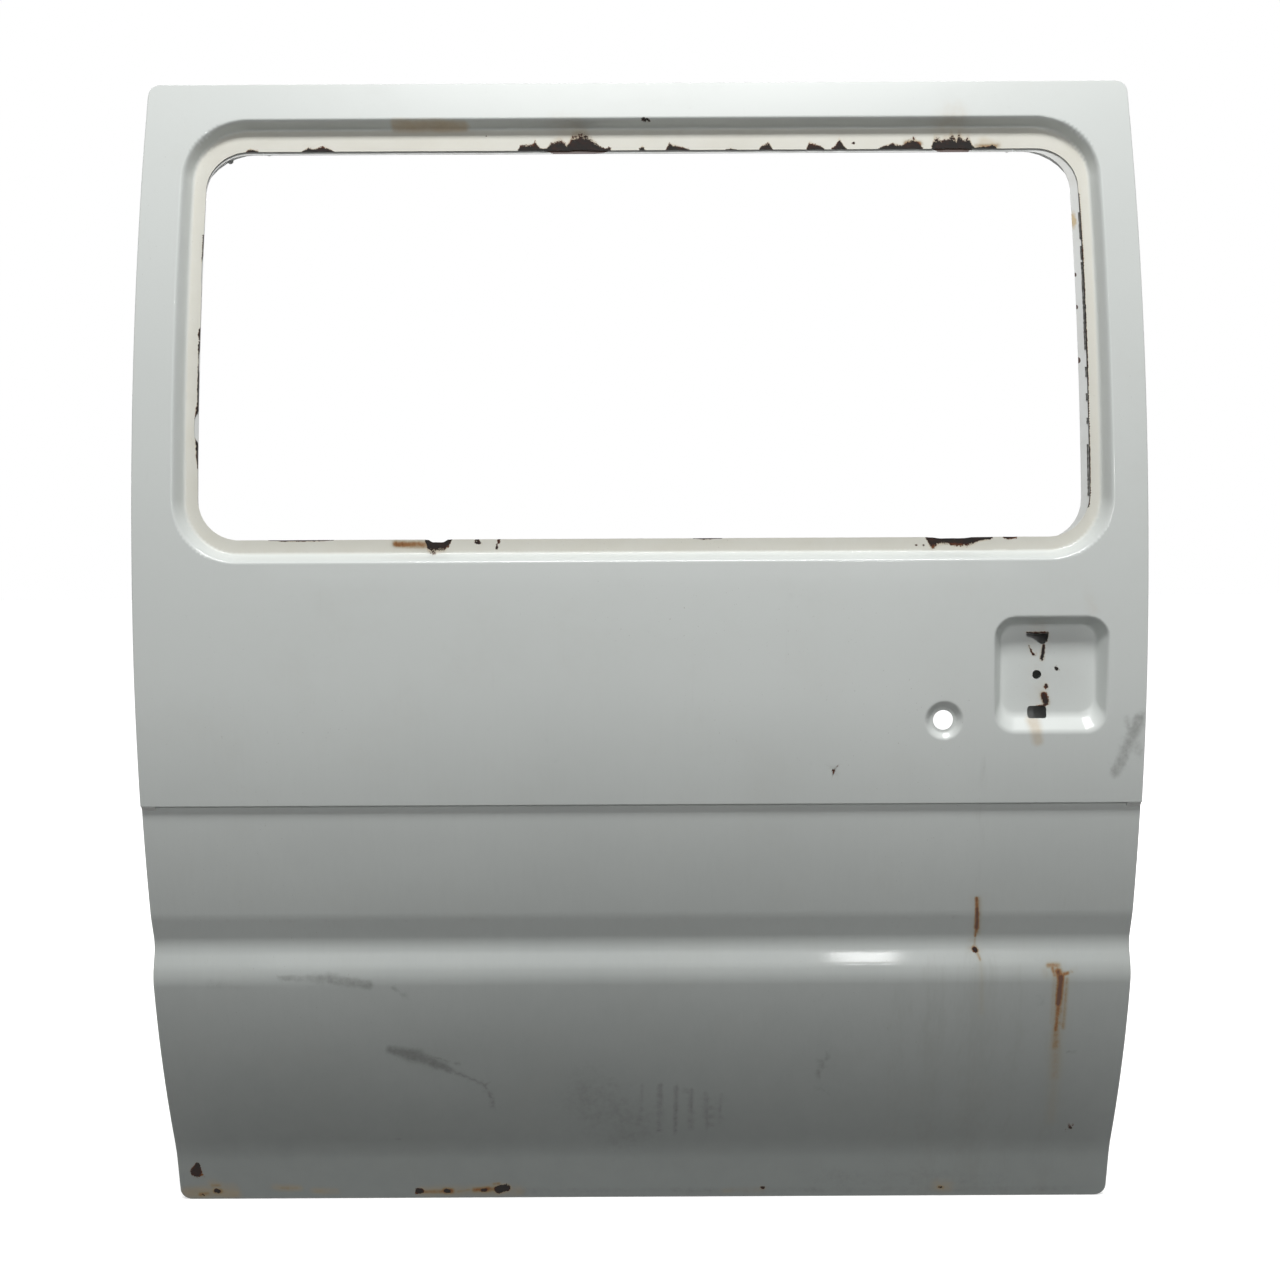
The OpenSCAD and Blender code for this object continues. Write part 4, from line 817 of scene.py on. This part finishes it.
def made_solid(worked, name):
    """The result of an object's modifiers as a plain mesh of its own; the worked object goes."""
    depsgraph = bpy.context.evaluated_depsgraph_get()
    mesh = bpy.data.meshes.new_from_object(worked.evaluated_get(depsgraph), depsgraph=depsgraph)
    bpy.data.objects.remove(worked)
    mesh.name = name
    return in_scene(name, mesh)


def eased(node, name, radius, finish, wide=2.2):
    """A CAD piece with the edges between its wide faces rounded, as a press or a file leaves them."""
    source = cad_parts[node]
    mesh = source.data.copy()
    mesh.name = name
    shape = bmesh.new()
    shape.from_mesh(mesh)
    bmesh.ops.remove_doubles(shape, verts=shape.verts, dist=1e-6)
    bmesh.ops.dissolve_limit(shape, angle_limit=math.radians(0.6), verts=shape.verts, edges=shape.edges)
    width = {}
    for face in shape.faces:
        width[face.index] = 2 * face.calc_area() / max(face.calc_perimeter(), 1e-9)
    bends = [e for e in shape.edges if len(e.link_faces) == 2 and e.calc_face_angle(0) > math.radians(24)
             and min(width[f.index] for f in e.link_faces) > wide * MM and e.calc_length() > 1.5 * MM]
    if bends:
        bmesh.ops.bevel(shape, geom=bends, offset=radius * MM, segments=3, profile=0.5, affect="EDGES",
                        clamp_overlap=True)
    shape.to_mesh(mesh)
    shape.free()
    mesh.shade_smooth()
    mesh.set_sharp_from_angle(angle=math.radians(32))
    mesh.materials.clear()
    mesh.materials.append(finish.material)
    blank = in_scene(name + "_blank", mesh)
    weights = blank.modifiers.new("weights", "WEIGHTED_NORMAL")
    weights.mode, weights.keep_sharp, weights.weight = "FACE_AREA", True, 80
    piece = made_solid(blank, name)
    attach(piece, "root")
    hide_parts(node)
    return piece


pressings = [eased("inner_" + part, part + "_pressing", 3.2, inner_paint) for part in (
    "front_pillar", "rear_pillar", "header", "waist_rail", "upper_panel", "lower_panel", "sill_rail")]

# The pressings are joined by resistance spot welds, a few centimetres apart along their laps and
# round the window flange. Each electrode leaves a round print about 6 mm wide with a dished middle.
WELD_PITCH, WELD_R, WELD_STAND = 44.0, 3.1, 0.22


class Layout(Tree):
    """Geometry Nodes that set out a piece along a guide line, with its sizes as named inputs."""

    def __init__(self, name, sizes):
        self.group = bpy.data.node_groups.new(name, "GeometryNodeTree")
        super().__init__(self.group)
        self.sizes = sizes
        self.group.interface.new_socket("Guide", in_out="INPUT", socket_type="NodeSocketGeometry")
        for size, value in sizes.items():
            kind = "NodeSocketInt" if isinstance(value, int) else "NodeSocketFloat"
            self.group.interface.new_socket(size, in_out="INPUT", socket_type=kind)
        self.group.interface.new_socket("Piece", in_out="OUTPUT", socket_type="NodeSocketGeometry")
        self.guide = self.given("Guide")

    def given(self, name):
        return self.add("NodeGroupInput", {}, {}, name)

    def closing(self, piece, finish):
        piece = self.add("GeometryNodeRealizeInstances", {}, {"Geometry": piece})
        piece = self.add("GeometryNodeSetMaterial", {}, {"Geometry": piece, "Material": finish.material})
        self.add("NodeGroupOutput", {}, {"Piece": piece})

    def along(self, lines, name, slot, out=None):
        """The piece set out on guide lines, as a plain mesh that rides with the door."""
        guide = bpy.data.meshes.new(name + "_guide")
        links = []
        for line in lines:
            start = links[-1][1] + 1 if links else 0
            links += [(start + i, start + i + 1) for i in range(len(line) - 1)]
        guide.from_pydata(np.concatenate(lines).tolist(), links, [])
        if out is not None:
            facing = guide.attributes.new("out", "FLOAT_VECTOR", "POINT")
            facing.data.foreach_set("vector", np.concatenate(out).ravel())
        worked = in_scene(name + "_guide", guide)
        modifier = worked.modifiers.new("layout", "NODES")
        modifier.node_group = self.group
        for item in self.group.interface.items_tree:
            if item.in_out == "INPUT" and item.name in self.sizes:
                modifier[item.identifier] = self.sizes[item.name]
        piece = made_solid(worked, name)
        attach(piece, "root")


welds = Layout("spot_welds", {"Pitch": WELD_PITCH * MM, "Radius": WELD_R * MM, "Stand": WELD_STAND * MM})
rail = welds.add("GeometryNodeMeshToCurve", {}, {"Mesh": welds.guide})
rail = welds.add("GeometryNodeResampleCurve", {"mode": "LENGTH"}, {
    "Curve": rail, "Length": welds.given("Pitch")})
print_rim = welds.add("GeometryNodeMeshCone", {"fill_type": "NGON"}, {
    "Vertices": 12, "Radius Top": welds.given("Radius") * 0.86, "Radius Bottom": welds.given("Radius"),
    "Depth": welds.given("Stand")}, "Mesh")
dish = welds.add("GeometryNodeExtrudeMesh", {"mode": "FACES"}, {
    "Mesh": print_rim, "Selection": print_rim.beside("Top"), "Offset Scale": 0.0}, "Mesh")
dish_top = dish.beside("Top")
dish = welds.add("GeometryNodeScaleElements", {"domain": "FACE"}, {
    "Geometry": dish, "Selection": dish_top, "Scale": 0.74})
dish = welds.add("GeometryNodeExtrudeMesh", {"mode": "FACES"}, {
    "Mesh": dish, "Selection": dish_top, "Offset Scale": welds.given("Stand") * -0.6}, "Mesh")
dish = welds.add("GeometryNodeScaleElements", {"domain": "FACE"}, {
    "Geometry": dish, "Selection": dish.beside("Top"), "Scale": 0.72})
outwards = welds.add("GeometryNodeInputNamedAttribute", {"data_type": "FLOAT_VECTOR"}, {
    "Name": "out"}, "Attribute")
facing = welds.add("FunctionNodeAlignRotationToVector", {"axis": "Z"}, {"Vector": outwards})
prints = welds.add("GeometryNodeInstanceOnPoints", {}, {"Points": rail, "Instance": dish, "Rotation": facing})
welds.closing(prints, inner_paint)

# Every lap is followed on the pressings' own surface, from the inner side
surface = bmesh.new()
for pressing in pressings:
    surface.from_mesh(pressing.data)
surface_tree = BVHTree.FromBMesh(surface)
surface.free()


def on_pressings(places, sunk):
    """Guide lines on the inner side of the pressings, each broken where the surface steps."""
    lines, outs, line, out = [], [], [], []
    for x, z in places:
        hit, facing_in, _, _ = surface_tree.ray_cast(Vector(in_frame(x, 400, z)), Vector((0, -1, 0)))
        steps = line and hit is not None and (Vector(line[-1]) - hit).length > 7 * MM
        flat_enough = hit is not None and facing_in.y > 0.85
        if (not flat_enough or steps) and len(line) > 8:
            lines.append(np.array(line))
            outs.append(np.array(out))
        if not flat_enough or steps:
            line, out = [], []
        if flat_enough:
            line.append(tuple(hit - facing_in * sunk * MM))
            out.append(tuple(facing_in))
    if len(line) > 8:
        lines.append(np.array(line))
        outs.append(np.array(out))
    return lines, outs


pinch = round_rect(grown(OPENING, 9), OPENING_R + 9, 4)
laps = [np.concatenate([pinch, pinch[:1]])]
for lap_x in (111, DOOR_W - 111):
    laps += [[(lap_x, z) for z in np.arange(a, b, 4.0)] for a, b in ((32, 700), (1140, 1186))]
for lap_z in (629, 103, 342):
    laps.append([(x, lap_z) for x in np.arange(136, DOOR_W - 136, 4.0)])
weld_lines, weld_outs = [], []
for lap in laps:
    found, facings = on_pressings(lap, 0.04)
    weld_lines += found
    weld_outs += facings
welds.along(weld_lines, "spot_welds", "inner_paint", weld_outs)

# Seam sealer is run from a gun over the hem's raw edge on the inner side, and was run round the
# window flange, where only broken grey lines of it are left at the front edge.
# Height of each broken line, from and to, and how far in front of the opening's front edge it lies
SEALER_LINES = [
    (1058, 1030, 0.6), (1022, 1008, 0.6), (1005, 914, 0.7), (896, 886, 0.7), (869, 862, 0.8),
    (844, 838, 0.8), (817, 765, 0.9),
]


def run_bead(name, slot, finish, lines, step, radius):
    """A bead of sealer along guide lines, a little thicker here and thinner there."""
    gun = Layout(name, {"Step": step * MM, "Radius": radius * MM, "Seed": 3})
    line = gun.add("GeometryNodeMeshToCurve", {}, {"Mesh": gun.guide})
    line = gun.add("GeometryNodeResampleCurve", {"mode": "LENGTH"}, {
        "Curve": line, "Length": gun.given("Step")})
    swell = gun.add("FunctionNodeRandomValue", {"data_type": "FLOAT"}, {
        2: 0.72, 3: 1.18, "Seed": gun.given("Seed")}, 1)
    around = gun.add("GeometryNodeCurvePrimitiveCircle", {"mode": "RADIUS"}, {
        "Resolution": 7, "Radius": gun.given("Radius")})
    bead = gun.add("GeometryNodeCurveToMesh", {}, {
        "Curve": line, "Profile Curve": around, "Scale": swell, "Fill Caps": True})
    gun.closing(gun.add("GeometryNodeSetShadeSmooth", {}, {"Geometry": bead, "Shade Smooth": True}), finish)
    gun.along(lines, name, slot)


hem_line = round_rect(grown(WHOLE_DOOR, -10.5), 4, 6)
hem_line = np.concatenate([hem_line, hem_line[:1]])
hem_at = np.stack([hem_line[:, 0], skin_depth(*hem_line.T), hem_line[:, 1]], axis=-1)
hem_at = hem_at - outward(*hem_line.T) * 2.5
run_bead("hem_sealer", "inner_paint", inner_paint, [in_frame(*hem_at.T)], 5, 1.5)
old_sealer = Finish("old_sealer", Roughness=0.7, Specular_IOR_Level=0.3)
dried = old_sealer.noise(220, 4, 0.6)
old_sealer.feed(
    Base_Color=old_sealer.ramp(dried, (0.35, (0.030, 0.030, 0.027)), (0.65, (0.16, 0.155, 0.14))),
    Normal=old_sealer.bump(dried, 0.6, 0.0006))
left_lines = []
for z0, z1, off in SEALER_LINES:
    up = np.linspace(z0, z1, max(3, int(abs(z1 - z0) / 3)))
    across = OPENING[2] - off + 0.5 * (waves(up, 31) - 0.5)
    left_lines.append(in_frame(across, side_depth(up) + RECESS_D + SHEET + 0.1, up))
run_bead("window_sealer", "mastic", old_sealer, left_lines, 2, 0.8)

# Three hat-section bars stiffen the skin. They and the plates behind the seats are in grey primer,
# because no paint gun reaches them.
primer = Finish("primer", Specular_IOR_Level=0.35)
flow = primer.noise(30, 4, 0.6)
bare = primer.smooth(primer.noise(75, 5, 0.65, seed=2.0), 0.66, 0.72)
primed = primer.blend(flow, (0.30, 0.32, 0.33), (0.40, 0.42, 0.42))
rusted = primer.blend(primer.noise(260, 3, 0.6), (0.09, 0.03, 0.015), (0.30, 0.13, 0.05))
primer.feed(
    Base_Color=primer.blend(bare, primed, rusted),
    Roughness=0.62 + bare * 0.25,
    Normal=primer.bump(primer.noise(350, 2, 0.5) * 0.02 + bare * 0.25, 0.5, 0.001))
for bar in ("belt_bar", "upper_bar", "lower_bar"):
    eased(bar, bar + "_rolled", 1.6, primer, 1.4)
for seat in ("handle", "latch", "hinge", "upper_arm", "lower_arm"):
    eased(seat + "_backplate", seat + "_plate", 0.5, primer, 0.9)

# The bars are bonded to the skin with strips of black mastic, which stays soft.
mastic = Finish("mastic", Roughness=0.75, Specular_IOR_Level=0.3)
lumps = mastic.noise(90, 4, 0.6)
mastic.feed(Base_Color=mastic.blend(lumps, (0.018, 0.018, 0.018), (0.05, 0.048, 0.045)),
            Normal=mastic.bump(lumps, 0.8, 0.0012))
for strip in ("belt_mastic", "upper_mastic", "lower_mastic"):
    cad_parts[strip].data.materials.clear()
    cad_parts[strip].data.materials.append(mastic.material)

# Weld nuts, pressed from steel and plated with yellow zinc, which has gone dull and brown in places.
zinc = Finish("plated_steel", Metallic=1.0)
tarnish = zinc.smooth(zinc.noise(120, 4, 0.6), 0.35, 0.75)
bite = zinc.smooth(zinc.noise(240, 5, 0.65, seed=3.0), 0.60, 0.68)
plated = zinc.blend(tarnish, (0.62, 0.55, 0.34), (0.40, 0.37, 0.30))
zinc.feed(Base_Color=zinc.blend(bite, plated, (0.16, 0.06, 0.025)),
          Roughness=0.34 + tarnish * 0.2 + bite * 0.35,
          Normal=zinc.bump(zinc.noise(500, 3, 0.6) + bite * 0.5, 0.4, 0.0006))
for nuts in ("latch_nuts", "hinge_nuts", "upper_arm_nuts", "lower_arm_nuts"):
    eased(nuts, nuts + "_plated", 0.5, zinc, 1.0)

# Moulded rubber plugs close the tooling holes of the pillars.
rubber = Finish("rubber", Specular_IOR_Level=0.4)
bloom = rubber.smooth(rubber.noise(40, 5, 0.65), 0.4, 0.8)
rubber.feed(Base_Color=rubber.blend(bloom * 0.6, (0.022, 0.022, 0.022), (0.12, 0.115, 0.10)),
            Roughness=0.5 + bloom * 0.3,
            Normal=rubber.bump(rubber.noise(600, 2, 0.5), 0.25, 0.0005))
eased("blanking_plugs", "moulded_plugs", 0.6, rubber, 0.6)

# The floor is pale and plain, and the studio behind it white. Neither throws light back on the door:
# the floor is dark to what leaves the door, and pale to the camera and to reflections.
FLOOR_REACH = 30
floor_z = float(door_corner[2])
floor_corners = [(x * FLOOR_REACH, y * FLOOR_REACH, floor_z) for x, y in ((-1, -1), (1, -1), (1, 1), (-1, 1))]
floor_mesh = bpy.data.meshes.new("floor")
floor_mesh.from_pydata(floor_corners, [], [(0, 1, 2, 3)])
floor = in_scene("floor", floor_mesh)
pale = Finish("floor", Roughness=0.9, Specular_IOR_Level=0.1, Emission_Strength=1.0)
looked_at = pale.looked_at()
distance = pale.add("ShaderNodeVectorMath", {"operation": "LENGTH"}, {0: pale.place}, 1)
glow = looked_at * (0.42 + pale.smooth(distance, 1.2, 4.5) * 0.6)
pale.feed(Base_Color=pale.blend(looked_at, (0.035, 0.035, 0.035), (0.80, 0.80, 0.79)),
          Emission_Color=pale.blend(glow, (0.0, 0.0, 0.0), (1.0, 1.0, 1.0)))
floor_mesh.materials.append(pale.material)
floor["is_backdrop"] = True
world = bpy.data.worlds.new("studio")
bpy.context.scene.world = world
world.use_nodes = True
sky = Tree(world.node_tree)
sky_glow = sky.add("ShaderNodeMapRange", {}, {"Value": sky.looked_at(), "To Min": 0.025, "To Max": 1.0})
sky.join(next(n for n in sky.nodes if n.type == "BACKGROUND"), {"Color": (1, 1, 1, 1), "Strength": sky_glow})

# A wide ceiling light hangs before the door, with a weak wide one behind the camera. The images of
# three small softboxes lie on the ridge and the window's lower lip. A soft lamp lights the inner side.
LAMPS = [
    ("ceiling", (0.65, -2.8, 5.82), 3.0, 1.3, 365),
    ("front_fill", (0.45, -4.2, 1.3), 3.0, 2.0, 20),
    ("softbox_upper", (1.18, -3.2, 0.93), 0.20, 0.22, 5),
    ("softbox_lower", (1.18, -3.2, 0.52), 0.20, 0.09, 2.1),
    ("softbox_left", (0.07, -2.4, 1.86), 0.14, 0.2, 3.5),
    ("inner_side", (0.45, 2.1, 1.7), 2.4, 1.4, 62),
]
for name, place, width, length, power in LAMPS:
    data = bpy.data.lights.new(name, "AREA")
    data.shape = "RECTANGLE"
    data.size, data.size_y, data.energy = width, length, power
    lamp = in_scene(name, data)
    lamp.location = place
    lamp.rotation_euler = (Vector((0.45, 0, 0.05)) - lamp.location).to_track_quat("-Z", "Y").to_euler()
    lamp.visible_camera = False
bpy.context.scene.view_settings.view_transform = "Standard"

lo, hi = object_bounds()
